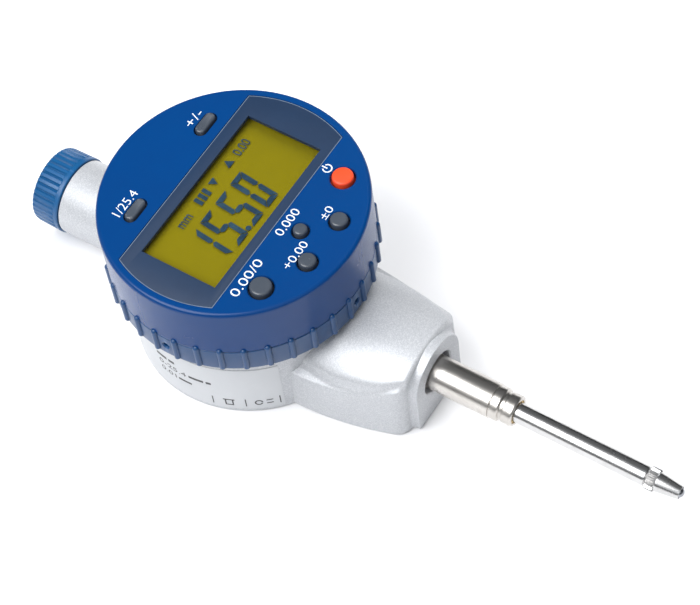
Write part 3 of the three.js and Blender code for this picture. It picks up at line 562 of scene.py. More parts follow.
RIDGE_X = [(-16, 12.6), (-23.5, 13.0), (-30.5, 13.4), (-36.5, 12.65), (-42, 11.2), (-47, 8.7)]
BAND_Z = [(-16, 12.9), (-21.5, 12.7), (-32, 12.4), (-36, 13.0), (-41, 14.5), (-47, 16.9)]
CROWN_R = 20.0
CROWN_Z = BASE_TOP_Z - 0.4
EDGE = 1.0              # rounding of the block's front edge under the crown
CORNER = 2.2            # rounding of its upright front corners
FLANK_R = 74            # the flanks curve in towards the stem
FLANK_START_Y = -20
FLANK_HALF = 16.65
DRAFT = (0.45, 12)      # the flanks lean in by the first for each of the second in height
RIDGE_LAP = 0.8         # how far in from the ridge the crown begins
CROWN_STEPS = 14
BLOCK_BACK_Y = -14.0    # inside the cup
BLOCK_STEPS = 26
BOSS_R = 8.7
BOSS_RISE = 0.51        # the arch's centre above the stem's axis
BOSS_FILLET = 1.1
BOSS_EDGE = 0.35
FADE_TOP_Z = 19.4       # the fillet fades out below this height, over this distance
FADE_OVER = 3
STEM_MOUTH_GAP = 1.1
STEM_MOUTH_DEPTH = 5
TUBE_BORE_R = 4.6
TUBE_STEP = 0.87


def crown(x):
    return CROWN_Z - (CROWN_R - math.sqrt(CROWN_R ** 2 - x * x))


def flank(y):
    reach = FLANK_R - math.sqrt(FLANK_R ** 2 - min(0.0, y - FLANK_START_Y) ** 2)
    half = FLANK_HALF - reach
    into = FRONT_Y + CORNER - y
    if into > 0:
        half -= CORNER * (1 - math.sqrt(max(0.0, 1 - (into / CORNER) ** 2)))
    return half


def shoulder_half(y):
    """Half section of the shoulder block, from the middle of its foot to that of its crown."""
    wall = flank(y)

    def wall_at(z):
        return wall - DRAFT[0] * z / DRAFT[1]

    band_z = smooth_value(BAND_Z, y)
    band_x = wall_at(band_z)
    ridge_x = min(smooth_value(RIDGE_X, y), band_x - 0.6)
    ridge = (ridge_x, crown(ridge_x))
    into = EDGE - (y - FRONT_Y)
    drop = EDGE - math.sqrt(max(0.0, EDGE ** 2 - max(0.0, into) ** 2))
    cove = corner((band_x, band_z), (ridge_x + 0.7, band_z + 0.75),
                  (ridge_x + 0.45, ridge[1] - 0.75), 8)
    points = [(0, 0), (wall * 0.5, 0), (wall - 0.4, 0), (wall - 0.02, 0.4)]
    points += [(wall_at(z), z) for z in (3.0, 6.0, 9.0, band_z - 0.35)]
    points += corner((band_x - 0.01, band_z - 0.2), (band_x, band_z), cove[1], 3)[:-1]
    points += cove[1:]
    lap_x = ridge_x - RIDGE_LAP
    points += corner((ridge_x + 0.36, ridge[1] - 0.6), (ridge_x + 0.05, ridge[1]),
                     (lap_x, crown(lap_x)), 5)
    inward = [lap_x * (1 - k / CROWN_STEPS) for k in range(1, CROWN_STEPS + 1)]
    points += [(x, crown(x)) for x in inward]
    return [(x, z - drop * max(0.0, min(1.0, (z - 12) / 5))) for x, z in points]


def shoulder_block():
    depths = [0, 0.04, 0.12, 0.24, 0.4, 0.6, 0.8, 1.0, 1.3, 1.7, 2.2]
    rows = depths + [CORNER + (BLOCK_BACK_Y - FRONT_Y - CORNER) * k / BLOCK_STEPS
                     for k in range(1, BLOCK_STEPS + 1)]
    count = len(shoulder_half(BLOCK_BACK_Y))
    columns = 2 * count - 2

    def place(u, v):
        y = FRONT_Y + rows[round(v * (len(rows) - 1))]
        half = shoulder_half(y)
        k = round(u * columns) % columns
        if k < count:
            x, z = half[k]
        else:
            x, z = half[columns - k]
            x = -x
        return x, y, z

    return shaped_grid(columns, len(rows) - 1, place, closed=True)


def boss_outline(grow):
    """Arch outline of the boss; the fillet round it fades out under the crown."""
    centre = AXIS_Z + BOSS_RISE
    half = BOSS_R + grow
    points = [(half - 0.4, 0.0), (half, 0.4), (half, centre * 0.5)]
    for x, z in arc(0, centre, BOSS_R, 0, 180, 36):
        reach = BOSS_R + grow * max(0.0, min(1.0, (FADE_TOP_Z - z) / FADE_OVER))
        points.append((x * reach / BOSS_R, centre + (z - centre) * reach / BOSS_R))
    points += [(-half, centre * 0.5), (-half, 0.4), (-half + 0.4, 0.0)]
    return points


def boss():
    length = FRONT_Y - BOSS_FACE_Y
    rows = [(-1.0, BOSS_FILLET)]
    for a in range(0, 91, 15):
        turn = math.radians(a)
        rows.append((BOSS_FILLET * (1 - math.cos(turn)), BOSS_FILLET * (1 - math.sin(turn))))
    for a in range(0, 91, 22):
        turn = math.radians(a)
        rows.append((length - BOSS_EDGE + BOSS_EDGE * math.sin(turn),
                     -BOSS_EDGE * (1 - math.cos(turn))))
    rows.append((length, -BOSS_EDGE))
    count = len(boss_outline(0))

    def place(u, v):
        depth, grow = rows[round(v * (len(rows) - 1))]
        x, z = boss_outline(grow)[round(u * count) % count]
        return x, FRONT_Y - depth, z

    return shaped_grid(count, len(rows) - 1, place, closed=True)


def casting():
    lip = 0.29
    band_r = BASE_R + lip
    collar_r = HEAD_R - 3.8
    collar_top = SEAM_Z - 0.35
    roof = BASE_TOP_Z - CUP_ROOF
    well_r = 4.5
    seat_r, seat_z = COVER_R + 0.1, COVER_TOP_Z + 0.1
    cup = turned(eased([
        (seat_r, 0), (BASE_R, 0), (BASE_R, BASE_BAND_Z - 0.1), (band_r, BASE_BAND_Z + 0.25),
        (band_r, BASE_TOP_Z), (collar_r, BASE_TOP_Z), (collar_r, collar_top),
        (collar_r - 2.2, collar_top), (collar_r - 2.2, BASE_TOP_Z), (well_r, BASE_TOP_Z),
        (well_r, roof), (BASE_BORE_R, roof), (BASE_BORE_R, seat_z), (seat_r, seat_z),
    ], 0.3), steps=180)
    groove = turned(box_points(collar_r - 0.9, collar_r + 1, SEAM_Z - 4.4, SEAM_Z - 2.0),
                    steps=120)
    tube = on_axis(eased([
        (0, BASE_BORE_R - 0.6), (TUBE_R, BASE_BORE_R - 0.6), (TUBE_R, CAP_Y - 0.25),
        (TUBE_R - TUBE_STEP, CAP_Y - 0.25), (TUBE_R - TUBE_STEP, TUBE_END_Y), (0, TUBE_END_Y),
    ], 0.2), 96)
    cavity = turned(box_points(0, BASE_BORE_R, -1, roof), steps=180)
    recess = turned(box_points(0, seat_r, -1, seat_z), steps=180)
    arms = weld(shoulder_block(), boss(), tube)
    cut(arms, cavity, recess)
    body = weld(cup, arms)
    mouth = STEM_R + STEM_MOUTH_GAP
    cut(body, groove)
    mouth_end = BOSS_FACE_Y + STEM_MOUTH_DEPTH
    for bore in (
        [(0, BOSS_FACE_Y - 1), (mouth + 0.3, BOSS_FACE_Y - 1), (mouth + 0.3, BOSS_FACE_Y),
         (mouth, BOSS_FACE_Y + 0.3), (mouth, mouth_end), (0, mouth_end)],
        box_points(0, STEM_R + 0.03, BOSS_FACE_Y + 4, STEM_INNER_Y + 3),
        box_points(0, TUBE_BORE_R, BASE_BORE_R - 3, TUBE_END_Y + 1),
    ):
        cut(body, on_axis(bore, 64))
    settle(body, "casting", "main_body", SILVER_PAINT, ["cast_body"], angle=28)


# -------- display head

FRAME_INSET = 2.0
SHELL_WALL = 1.8
FACE_THICKNESS = 2
RIM = 0.95
BUTTON_FLANGE = (1.1, 0.9)      # reach and thickness of the flange under a round key
KEY_FLANGE = 1.8                # a long key's flange, longer and wider than the key by this
KEY_WIDTH = 2.4
RIB_R, RIB_REACH, RIBS = 0.74, 0.68, 36
GRUB_HOLES = 4

def stadium(x, y, length, width, steps=14):
    r = width / 2
    h = length / 2 - r
    return arc(x + h, y, r, -90, 90, steps) + arc(x - h, y, r, 90, 270, steps)


def frame_outline(grow):
    r = HEAD_R - FRAME_INSET + grow
    top, bottom = frame_high.y + grow, frame_low.y - grow
    top_angle, bottom_angle = (math.degrees(math.asin(y / r)) for y in (top, bottom))
    return (arc(0, 0, r, bottom_angle, top_angle, 28)
            + arc(0, 0, r, 180 - top_angle, 180 - bottom_angle, 28))


SCREEN = (-20.4, 19.9, -9.25, 9.4)
ROUND_BUTTONS = ["zero_button", "preset_button", "origin_button", "tolerance_button",
                 "power_button"]
LONG_KEYS = ["unit_button", "direction_button"]


def screen_tool(grow, z0, z1):
    x0, x1, y0, y1 = SCREEN
    return plate(box_points(x0 - grow, x1 + grow, y0 - grow, y1 + grow), z0, z1)


def button_place(name):
    """Middle, half width, top and bottom of a key."""
    low, high = span(name)
    return (low.x + high.x) / 2, (low.y + high.y) / 2, (high.x - low.x) / 2, high.z, low.z


def head_shell():
    inner = HEAD_R - SHELL_WALL
    plate_z = FACE_Z - FACE_THICKNESS
    rim_r, rim_z = HEAD_R - RIM, FACE_Z - RIM
    profile = [(inner, SEAM_Z), (HEAD_R - 0.2, SEAM_Z), (HEAD_R, SEAM_Z + 0.2),
               (HEAD_R, SEAM_Z + 0.7), (HEAD_R, rim_z - 1.2), (HEAD_R, rim_z - 0.3)]
    profile += arc(rim_r, rim_z, RIM, 0, 90, 10)
    profile += [(rim_r - 0.25, FACE_Z), (rim_r - 0.6, FACE_Z), (0, FACE_Z), (0, plate_z),
                (inner, plate_z)]
    shell = turned(profile, steps=192)
    cut(shell, plate(frame_outline(0.1), FRAME_TOP_Z - 1, FACE_Z + 1))
    cut(shell, screen_tool(0.75, plate_z - 1, FACE_Z + 1))
    for name in ROUND_BUTTONS:
        x, y, r = button_place(name)[:3]
        hole = r - BUTTON_FLANGE[0] + 0.42
        bevel = 0.22
        cut(shell, turned([(0, plate_z - 1), (hole, plate_z - 1), (hole, FACE_Z - bevel),
                           (hole + bevel, FACE_Z), (hole + bevel, FACE_Z + 1), (0, FACE_Z + 1)],
                          centre=(x, y, 0), steps=48))
    for name in LONG_KEYS:
        x, y, half = button_place(name)[:3]
        gap = 0.8
        slot_shape = stadium(x, y, 2 * half - KEY_FLANGE + gap, KEY_WIDTH + gap)
        cut(shell, plate(slot_shape, plate_z - 1, FACE_Z + 1))
    settle(shell, "head_shell_moulding", "display_head", HEAD_BLUE, ["head_shell"],
           angle=30)


def grip_ring():
    bore = HEAD_R - 3.55
    top = SEAM_Z - 0.15
    ring = turned(eased(box_points(bore, HEAD_R, RING_BOTTOM_Z, top), 0.35, 4), steps=192)
    seat = HEAD_R + RIB_REACH - RIB_R
    crest = SEAM_Z + 0.95
    low = RING_BOTTOM_Z + 0.45
    rib = turned([(0, low), (RIB_R - 0.3, low), (RIB_R, low + 0.3), (RIB_R, crest - RIB_R)]
                 + arc(0, crest - RIB_R, RIB_R, 0, 90, 5)[1:], centre=(seat, 0, 0), steps=20)
    pitch = 360 / RIBS
    ribs = copies(rib, [Matrix.Rotation(math.radians(pitch / 2 + pitch * k), 4, "Z")
                        for k in range(RIBS)])
    hole, mouth = 0.85, 1.15
    for k in range(GRUB_HOLES):
        drill = turned([(0, HEAD_R - 5), (hole, HEAD_R - 5), (hole, HEAD_R - 0.3),
                        (mouth, HEAD_R + 0.05), (mouth, HEAD_R + 1), (0, HEAD_R + 1)],
                       axis="X", centre=(0, 0, (RING_BOTTOM_Z + top) / 2), steps=28)
        drill.data.transform(Matrix.Rotation(math.radians(360 / GRUB_HOLES * k), 4, "Z"))
        cut(ring, drill)
    settle(joined([ring, ribs]), "grip_ring_ribbed", "display_head", GRIP_BLUE,
           ["grip_ring"], angle=38)


def display_frame():
    strip = plate(frame_outline(0), frame_low.z, FRAME_TOP_Z)
    soften(strip, 0.12, 2)
    cut(strip, screen_tool(0, frame_low.z - 1, FRAME_TOP_Z + 1))
    settle(strip, "display_frame_inlay", "display_head", FRAME_SLATE,
           ["display_frame"])
    # A thin lighter ring on the frame's top edge: a painted highlight for the light the frame's
    # edge catches, not a part of its own.
    line = plate(frame_outline(-0.02), FRAME_TOP_Z - 0.16, FRAME_TOP_Z + 0.01)
    cut(line, plate(frame_outline(-0.17), FRAME_TOP_Z - 1, FRAME_TOP_Z + 1))
    settle(line, "display_frame_painted_highlight", "display_head", FRAME_EDGE_HIGHLIGHT)


def round_button(name, material):
    x, y, flange, top, low = button_place(name)
    reach, thick = BUTTON_FLANGE
    r = flange - reach
    dome, edge, rise = 0.16, 0.62, 0.04
    steps = 7
    shoulder = top - dome
    profile = [(0, low), (flange, low), (flange, low + thick), (r, low + thick),
               (r, shoulder - edge)]
    profile += corner((r, shoulder - edge), (r - 0.02, shoulder),
                      (r - edge, shoulder + rise), steps)[1:]
    profile += [((r - edge) * (1 - k / steps), top - (dome - rise) * (1 - k / steps) ** 2)
                for k in range(1, steps + 1)]
    button = turned(profile, centre=(x, y, 0), steps=64)
    body = name.replace("_button", "_key")
    settle(button, name + "_cap", body, material, [name])


def long_key(name):
    x, y, half, top, low = button_place(name)
    length = 2 * half - KEY_FLANGE
    key = plate(stadium(x, y, length, KEY_WIDTH), low, top)
    soften(key, 0.5, 5, 60)
    flange = plate(stadium(x, y, length + KEY_FLANGE, KEY_WIDTH + KEY_FLANGE),
                   low, low + BUTTON_FLANGE[1])
    body = name.replace("_button", "_key")
    settle(joined([key, flange]), name + "_cap", body, KEY_GREY, [name], angle=40)


# -------- display marks

SEGMENTS = {"0": "abcdef", "1": "bc", "5": "acdfg"}
DIGIT_W, DIGIT_LOW, DIGIT_HIGH, DIGIT_SLANT, SEGMENT_T = 4.05, -6.8, 3.65, 0.098, 1.22
SEGMENT_GAP = 0.11
FIRST_DIGIT_X, DIGIT_PITCH = -9.72, 5.67        # right edges of the figures
INK_RISE = 0.03
PRINT_HALF = 0.01                               # half the thickness of printed marks
FACE_PRINT_Z = FACE_Z + 0.012
FACE_TEXT = [                                   # text, x0, x1, y0, y1
    ("1/25.4", -15.7, -8.6, 18.4, 20.5), ("+/-", 11.2, 15.8, 18.3, 20.4),
    ("0.00/0", -20.2, -10.2, -14.7, -12.6), ("0.000", -3.0, 4.3, -14.4, -12.4),
    ("+0.00", -9.2, -1.8, -20.4, -18.5), ("±0", 5.0, 8.3, -20.2, -18.4),
]
POWER_SIGN = (16.35, -13.25, 1.12, 0.82)        # x, y, outer and inner radius


def segment_shapes(figure, right):
    """Seven-segment bars of one figure, as outlines leaning to the right."""
    t, gap = SEGMENT_T, SEGMENT_GAP
    w, h = DIGIT_W, DIGIT_HIGH - DIGIT_LOW
    mid = h / 2
    end, near = gap * 0.4, gap * 1.6
    upper = [(0, h - near), (t, h - t - gap), (t, mid + t * 0.5 + gap), (t * 0.5, mid + gap),
             (0, mid + t * 0.35)]
    lower = [(0, near), (t, t + gap), (t, mid - t * 0.5 - gap), (t * 0.5, mid - gap),
             (0, mid - t * 0.35)]
    shapes = {
        "a": [(gap, h), (w - gap, h), (w - t - end, h - t), (t + end, h - t)],
        "d": [(gap, 0), (w - gap, 0), (w - t - end, t), (t + end, t)],
        "g": [(t * 0.55 + gap, mid), (t + gap, mid + t / 2), (w - t - gap, mid + t / 2),
              (w - t * 0.55 - gap, mid), (w - t - gap, mid - t / 2), (t + gap, mid - t / 2)],
        "f": upper, "b": [(w - x, y) for x, y in upper],
        "e": lower, "c": [(w - x, y) for x, y in lower],
    }
    return [[(right - w + x + DIGIT_SLANT * (y - mid), DIGIT_LOW + y) for x, y in shapes[key]]
            for key in SEGMENTS[figure]]


def fitted(text, x0, x1, y0, y1, weight=-0.006):
    """Raised numerals and signs, as a flat mesh that fills the given box."""
    rest_selection()
    bpy.ops.object.text_add(location=(0, 0, 0))
    piece = bpy.context.object
    piece.data.body = text
    piece.data.size = 1.0
    piece.data.offset = weight
    piece.data.resolution_u = 6
    piece.data.extrude = PRINT_HALF
    bpy.ops.object.convert(target="MESH")
    piece = bpy.context.object
    edge_x = min(vertex.co.x for vertex in piece.data.vertices)
    edge_y = min(vertex.co.y for vertex in piece.data.vertices)
    for vertex in piece.data.vertices:
        vertex.co = (vertex.co.x - edge_x, vertex.co.y - edge_y, vertex.co.z)
    wide = max(vertex.co.x for vertex in piece.data.vertices)
    tall = max(vertex.co.y for vertex in piece.data.vertices)
    for vertex in piece.data.vertices:
        vertex.co = (x0 + vertex.co.x * (x1 - x0) / wide,
                     y0 + vertex.co.y * (y1 - y0) / tall, vertex.co.z)
    return piece


def lifted(piece, z):
    piece.data.transform(Matrix.Translation((0, 0, z)))
    return piece


def display_marks():
    z0 = LCD_Z + 0.32
    z1 = z0 + INK_RISE
    marks = []
    for k, figure in enumerate("1550"):
        right = FIRST_DIGIT_X + DIGIT_PITCH * k
        marks += [plate(shape, z0, z1) for shape in segment_shapes(figure, right)]
    point = arc(-3.6, -6.1, 0.62, 0, 345, 23)
    down, up = [(1.65, 7.9), (3.6, 7.9), (2.62, 6.0)], [(7.2, 6.2), (9.4, 6.2), (8.3, 8.2)]
    marks += [plate(shape, z0, z1) for shape in (point, down, up)]
    marks.append(lifted(fitted("mm", -10.6, -6.9, 5.7, 7.3, 0.0), z0 + PRINT_HALF))
    for k in range(3):
        x = -3.7 + 1.45 * k
        leaning_bar = [(x, 5.8), (x + 0.95, 5.8), (x + 1.1, 8.1), (x + 0.15, 8.1)]
        marks.append(plate(leaning_bar, z0, z1))
    marks.append(lifted(fitted("0.00", 11.0, 15.4, 5.9, 8.1, 0.0), z0 + PRINT_HALF))
    settle(joined(marks), "display_segments", "display_head", SEGMENT_INK)


def face_marks():
    z0, z1 = FACE_PRINT_Z - PRINT_HALF, FACE_PRINT_Z + PRINT_HALF
    marks = [lifted(fitted(*row), FACE_PRINT_Z) for row in FACE_TEXT]
    x, y, outer, inner = POWER_SIGN
    ring = arc(x, y, outer, 122, 418, 30) + arc(x, y, inner, 418, 122, 30)
    stroke = box_points(x - 0.15, x + 0.15, y, y + 1.35)
    marks += [plate(shape, z0, z1) for shape in (ring, stroke)]
    settle(joined(marks), "face_printing", "display_head", PRINT_WHITE)


# -------- stem, spindle and contact

RUN_GAP = 0.05              # radial gap round the spindle, and round the bush
BUSH_WALL = 0.85
CONTACT_R = 2.5
KNURL_TEETH, KNURL_DEPTH, KNURL_FROM_R = 36, 0.3, 2.35


def stem():
    bush = SPINDLE_R + BUSH_WALL
    end = bush + 0.45
    neck = end - 0.3
    mouth = SPINDLE_R + 0.5
    band = STEM_R - 0.15
    groove = STEM_R - 0.28
    y = STEM_END_Y
    profile = eased([
        (mouth, y), (end - 0.22, y), (end, y + 0.3), (end, y + 2.35), (end - 0.15, y + 2.5),
        (neck, y + 2.5), (neck, y + 3.25), (STEM_R - 0.42, y + 3.25), (band, y + 3.55),
        (band, y + 5.3), (groove, y + 5.36), (groove, y + 5.46), (STEM_R, y + 5.52),
        (STEM_R, STEM_INNER_Y), (bush, STEM_INNER_Y), (bush, y + 0.5), (mouth, y + 0.3),
    ], 0.06, 3)
    tube = on_axis(profile, 96)
    settle(tube, "stem_ground", "main_body", GROUND, ["stem"])
    low, high = span("lower_bush")
    inner, outer = SPINDLE_R + RUN_GAP, bush - RUN_GAP
    sleeve = on_axis(eased([(inner, low.y + 0.25), (bush - 0.35, low.y + 0.25),
                           (outer, low.y + 0.6), (outer, high.y), (inner, high.y)], 0.12), 72)
    settle(sleeve, "lower_bush_turned", "main_body", BRASS, ["lower_bush"])


def spindle():
    low, high = spindle_low.y, spindle_high.y
    thread_r, thread_end = 1.3, low + 5.3
    rod = on_axis(eased([
        (thread_r, low), (SPINDLE_R - 0.25, low), (SPINDLE_R, low + 0.25), (SPINDLE_R, high - 0.3),
        (SPINDLE_R - 0.3, high), (0, high), (0, thread_end), (thread_r, thread_end),
    ], 0.08), 72)
    settle(rod, "spindle_ground", "spindle_assembly", POLISHED, ["spindle"])


def contact_point():
    top = NOSE_Y - 0.05
    low = NOSE_Y - 2.4
    tip = low - 4.8
    collar = on_axis(eased([(0, low), (2.2, low), (CONTACT_R, low + 0.25), (CONTACT_R, top - 0.25),
                           (2.3, top), (0, top)], 0.05, 2), 4 * KNURL_TEETH)

    def knurl(_, turn):
        return KNURL_DEPTH * (0.5 - 0.5 * math.cos(KNURL_TEETH * turn))

    sunk(collar, KNURL_FROM_R, knurl)
    thread_r, thread_end = 1.2, top + 4.9
    seat_r, seat_end = 1.31, tip + 1.3
    cone = on_axis(eased([
        (0, thread_end), (thread_r, thread_end), (thread_r, low + 0.5), (2.0, low + 0.4),
        (2.18, low + 0.05), (2.2, low - 0.15), (1.5, tip - 0.45), (1.44, tip - 0.52),
        (seat_r, tip - 0.52), (seat_r, seat_end), (0, seat_end),
    ], 0.04, 2), 72)
    settle(joined([collar, cone]), "contact_point_knurled", "spindle_assembly",
           POLISHED, ["contact_point"])
    centre = (ball_low.y + ball_high.y) / 2
    radius = (ball_high.z - ball_low.z) / 2
    angles = [math.radians(a) for a in range(0, 181, 6)]
    ball = on_axis([(radius * math.sin(a), centre - radius * math.cos(a)) for a in angles], 64)
    settle(ball, "contact_ball_ground", "spindle_assembly", CARBIDE, ["contact_ball"])


def return_spring():
    """Coil round the spindle; it is modelled at one length and does not close up as the spindle
    goes in.
    """
    low, high = span("return_spring")
    wire, turns = 0.28, 11
    coil = SPINDLE_R + 0.95
    start, end = low.y + wire, high.y - wire

    def place(u, v):
        turn = FULL_TURN * turns * v
        lift = FULL_TURN * u
        reach = coil + wire * math.cos(lift)
        along = start + (end - start) * v + wire * math.sin(lift)
        return reach * math.cos(turn), along, AXIS_Z + reach * math.sin(turn)

    spring = shaped_grid(8, 16 * turns, place, closed=True)
    settle(spring, "return_spring_coil", "main_body", SPRING, ["return_spring"],
           angle=60)
    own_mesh(spring)


# -------- dust cap

FLUTES, FLUTE_DEPTH = 40, 0.48
FLUTE_START, FLUTE_RUN_IN = 1.15, 0.35


def dust_cap():
    y0, y1 = CAP_Y, CAP_END_Y
    inner = TUBE_R - 0.62
    crest = CAP_R - 0.05
    profile = [(inner, y0), (CAP_R - 0.2, y0), (CAP_R, y0 + 0.2), (CAP_R, y0 + 1.0),
               (CAP_R - 0.12, y0 + 1.12), (crest, y0 + 1.2), (crest, y0 + 1.6),
               (crest - 0.04, y0 + 3.4), (crest - 0.1, y1 - 1.1)]
    profile += corner((crest - 0.12, y1 - 1.0), (crest - 0.15, y1 - 0.1),
                      (crest - 0.75, y1 - 0.02), 6)
    profile += [(crest - 1.0, y1), (crest - 1.4, y1), (0, y1), (0, y1 - 1.5), (inner, y1 - 1.5)]
    cap = on_axis(profile, 8 * FLUTES)

    def flute(y, turn):
        run_in = max(0.0, min(1.0, (y - y0 - FLUTE_START) / FLUTE_RUN_IN))
        return FLUTE_DEPTH * run_in * max(0.0, math.cos(FLUTES * turn)) ** 0.6

    sunk(cap, crest - 0.75, flute)
    settle(cap, "dust_cap_fluted", "rear_cap", CAP_BLUE, ["dust_cap"], angle=40)


# -------- rating label round the cup

LABEL_HALF_ANGLE = 47.7
LABEL_THICKNESS = 0.1
LABEL_R = BASE_R + 0.12
LABEL_PRINT_R = BASE_R + 0.13
FIRST_RULE_ANGLE = 193.7
LABEL_TEXT = [                              # text, x0, x1, y0, y1
    ("0-25.4", -13.2, -5.6, 9.3, 10.9), ("0.01", -13.0, -8.6, 6.6, 8.1),
]
LABEL_BARS = [                              # x, y, width, height
    (-13.5, 12.3, 3.0, 0.9), (-9.9, 12.3, 1.6, 0.9), (-4.9, 9.7, 3.6, 0.8), (-0.7, 9.7, 1.2, 0.8),
    (-7.9, 6.9, 3.4, 0.7), (0, 2.2, 0.24, 2.9), (7.4, 2.2, 0.24, 2.9), (15.0, 2.2, 0.24, 2.9),
    (2.9, 2.5, 1.9, 0.32), (2.9, 2.5, 0.3, 2.0), (4.5, 2.5, 0.3, 2.0), (2.5, 4.5, 2.6, 0.34),
    (12.1, 2.9, 1.5, 0.32), (12.1, 4.1, 1.5, 0.32),
]
LABEL_RING = (10.4, 3.6, 0.95, 0.62)        # x, y, outer and inner radius
LABEL_INK = 0.02

def wrapped(piece, start, radius):
    """Bends a flat mesh round the cup from the given angle, anticlockwise from above."""
    for vertex in piece.data.vertices:
        angle = math.radians(start) + vertex.co.x / radius
        reach = radius + vertex.co.z
        vertex.co = (reach * math.cos(angle), reach * math.sin(angle), vertex.co.y)


def wrap_label():
    half = math.radians(LABEL_HALF_ANGLE)
    low, high = label_low.z, label_high.z

    def place(u, v):
        angle = math.pi + half * (2 * u - 1)
        return LABEL_R * math.cos(angle), LABEL_R * math.sin(angle), low + (high - low) * v

    film = shaped_grid(72, 4, place)
    apply_modifier(film, "SOLIDIFY", thickness=LABEL_THICKNESS, offset=-1)
    edit_all(film)
    leave_edit()
    settle(film, "rating_label_film", "main_body", LABEL_FILM, ["wrap_label"])


def bar(x, y, width, height):
    """A flat bar, cut along its length so that it can be bent."""
    cuts = max(1, round(width))
    points = [(x + width * k / cuts, y) for k in range(cuts + 1)]
    points += [(x + width * (1 - k / cuts), y + height) for k in range(cuts + 1)]
    return plate(points, 0, LABEL_INK)


def label_marks():
    """Generic numbers, rules and signs, placed by their distance from the first rule."""
    x, y, outer, inner = LABEL_RING
    ring = arc(x, y, outer, 0, 340, 20) + arc(x, y, inner, 340, 0, 20)
    marks = [fitted(*row) for row in LABEL_TEXT] + [bar(*row) for row in LABEL_BARS]
    marks.append(plate(ring, 0, LABEL_INK))
    for piece in marks:
        wrapped(piece, FIRST_RULE_ANGLE, LABEL_PRINT_R)
    settle(joined(marks), "rating_label_printing", "main_body", PRINT_DARK)


# -------- back cover and screws

SCREW_NAMES = [f"cover_screw_{k}" for k in (1, 2, 3, 4)]
COVER_RING = (17.4, 17.7, 0.18)         # inner and outer radius, depth
SCREW_HOLE_R, SCREW_SHANK_R = 1.15, 0.95
CROSS_LONG, CROSS_NARROW, CROSS_DEPTH = 1.2, 0.22, 0.75


def back_cover():
    disc = turned(eased(box_points(0, COVER_R, 0, COVER_TOP_Z), 0.3), steps=160)
    ring_in, ring_out, ring_depth = COVER_RING
    cut(disc, turned(box_points(ring_in, ring_out, -1, ring_depth), steps=128))
    for name in SCREW_NAMES:
        low, high = span(name)
        x, y, r = (low.x + high.x) / 2, (low.y + high.y) / 2, (high.x - low.x) / 2
        cut(disc, turned([(0, -1), (r + 0.3, -1), (r + 0.15, 0.15), (SCREW_HOLE_R, 1.3),
                          (SCREW_HOLE_R, COVER_TOP_Z + 1), (0, COVER_TOP_Z + 1)],
                         centre=(x, y, 0), steps=40))
        screw = turned(eased([(0, low.z), (r, low.z), (SCREW_SHANK_R, 1.15),
                              (SCREW_SHANK_R, high.z), (0, high.z)], 0.1),
                       centre=(x, y, 0), steps=40)
        for wide, deep in ((CROSS_LONG, CROSS_NARROW), (CROSS_NARROW, CROSS_LONG)):
            cross = box_points(x - wide, x + wide, y - deep, y + deep)
            cut(screw, plate(cross, -0.5, CROSS_DEPTH))
        settle(screw, name + "_cross", "main_body", POLISHED, [name])
    settle(disc, "back_cover_disc", "main_body", SILVER_PAINT, ["back_cover"], angle=30)


casting()
head_shell()
grip_ring()
display_frame()
for button in ROUND_BUTTONS[:4]:
    round_button(button, KEY_GREY)
round_button(ROUND_BUTTONS[4], POWER_RED)
for button in LONG_KEYS:
    long_key(button)
display_marks()
face_marks()
stem()
spindle()
contact_point()
return_spring()
dust_cap()
wrap_label()
label_marks()
back_cover()


# -------- floor, light and camera

FLOOR_SIZE, FLOOR_Z = 4, -0.0003
CAMERA_LENS = 130.214
CAMERA_RIGHT = Vector((0.53675007, -0.8392006, -0.08741692))
CAMERA_UP = Vector((0.73252218, 0.41207573, 0.54185315))
CAMERA_BACK = Vector((-0.4187011, -0.35487455, 0.83591473))
CAMERA_PLACE = Vector((-0.226157, -0.219066, 0.474503))

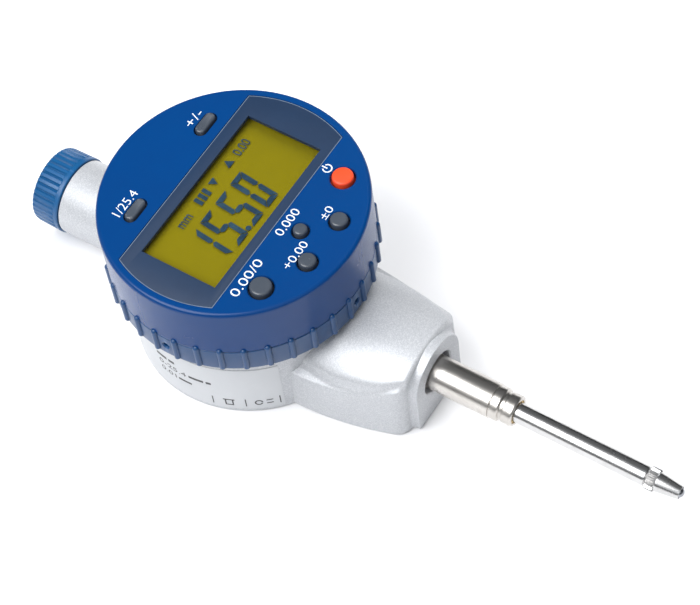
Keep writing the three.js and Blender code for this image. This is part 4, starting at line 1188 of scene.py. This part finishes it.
def floor():
    rest_selection()
    bpy.ops.mesh.primitive_plane_add(size=FLOOR_SIZE, location=(0, 0, FLOOR_Z))
    ground = bpy.context.object
    ground.name = "studio_floor"
    paper = bpy.data.materials.new("studio_paper")
    paper.use_nodes = True
    shader = paper.node_tree.nodes["Principled BSDF"]
    shader.inputs["Base Color"].default_value = (0.84, 0.84, 0.85, 1)
    shader.inputs["Roughness"].default_value = 0.8
    shader.inputs["Specular IOR Level"].default_value = 0.1
    ground.data.materials.append(paper)


def lamp(name, place, target, size, power, mirrored=True):
    light = bpy.data.lights.new(name, "AREA")
    light.shape = "RECTANGLE"
    light.size, light.size_y = size
    light.energy = power
    item = bpy.data.objects.new(name, light)
    item.location = place
    item.visible_glossy = mirrored
    item.rotation_euler = (Vector(target) - Vector(place)).to_track_quat("-Z", "Y").to_euler()
    bpy.context.scene.collection.objects.link(item)


def studio():
    world = bpy.data.worlds.new("studio_world")
    world.use_nodes = True
    tree = world.node_tree
    direction = node(tree, "ShaderNodeTexCoord").outputs["Generated"]
    rise = node(tree, "ShaderNodeSeparateXYZ", [("Vector", direction)])
    smooth = {"interpolation_type": "SMOOTHSTEP"}
    lift = ramp(tree, rise.outputs["Z"], 0.15, 0.75, 0.05, 0.75, **smooth)
    side = ramp(tree, rise.outputs["X"], -0.35, 0.3, 1.25, 0.22, **smooth)
    glow = times(tree, lift, side)
    tree.nodes["Background"].inputs["Color"].default_value = (0.93, 0.96, 1.0, 1)
    tree.links.new(glow, tree.nodes["Background"].inputs["Strength"])
    bpy.context.scene.world = world
    lamp("key_light", (-0.33, 0.16, 0.60), (0, -0.01, 0.02), (0.5, 0.5), 5.4)
    lamp("fill_light", (0.42, 0.02, 0.50), (0, -0.02, 0.02), (0.4, 0.6), 4.2, mirrored=False)
    lamp("front_light", (-0.25, -0.55, 0.35), (0, -0.02, 0.02), (0.5, 0.3), 0.4, mirrored=False)
    bpy.context.scene.view_settings.view_transform = "Standard"


def camera():
    lens = bpy.data.cameras.new("camera")
    lens.sensor_width = 36
    lens.lens = CAMERA_LENS
    lens.clip_start = 0.01
    lens.clip_end = 10
    item = bpy.data.objects.new("camera", lens)
    turn = Matrix((CAMERA_RIGHT, CAMERA_UP, CAMERA_BACK)).transposed().to_4x4()
    item.matrix_world = Matrix.Translation(CAMERA_PLACE) @ turn
    bpy.context.scene.collection.objects.link(item)
    bpy.context.scene.camera = item


floor()
studio()
camera()
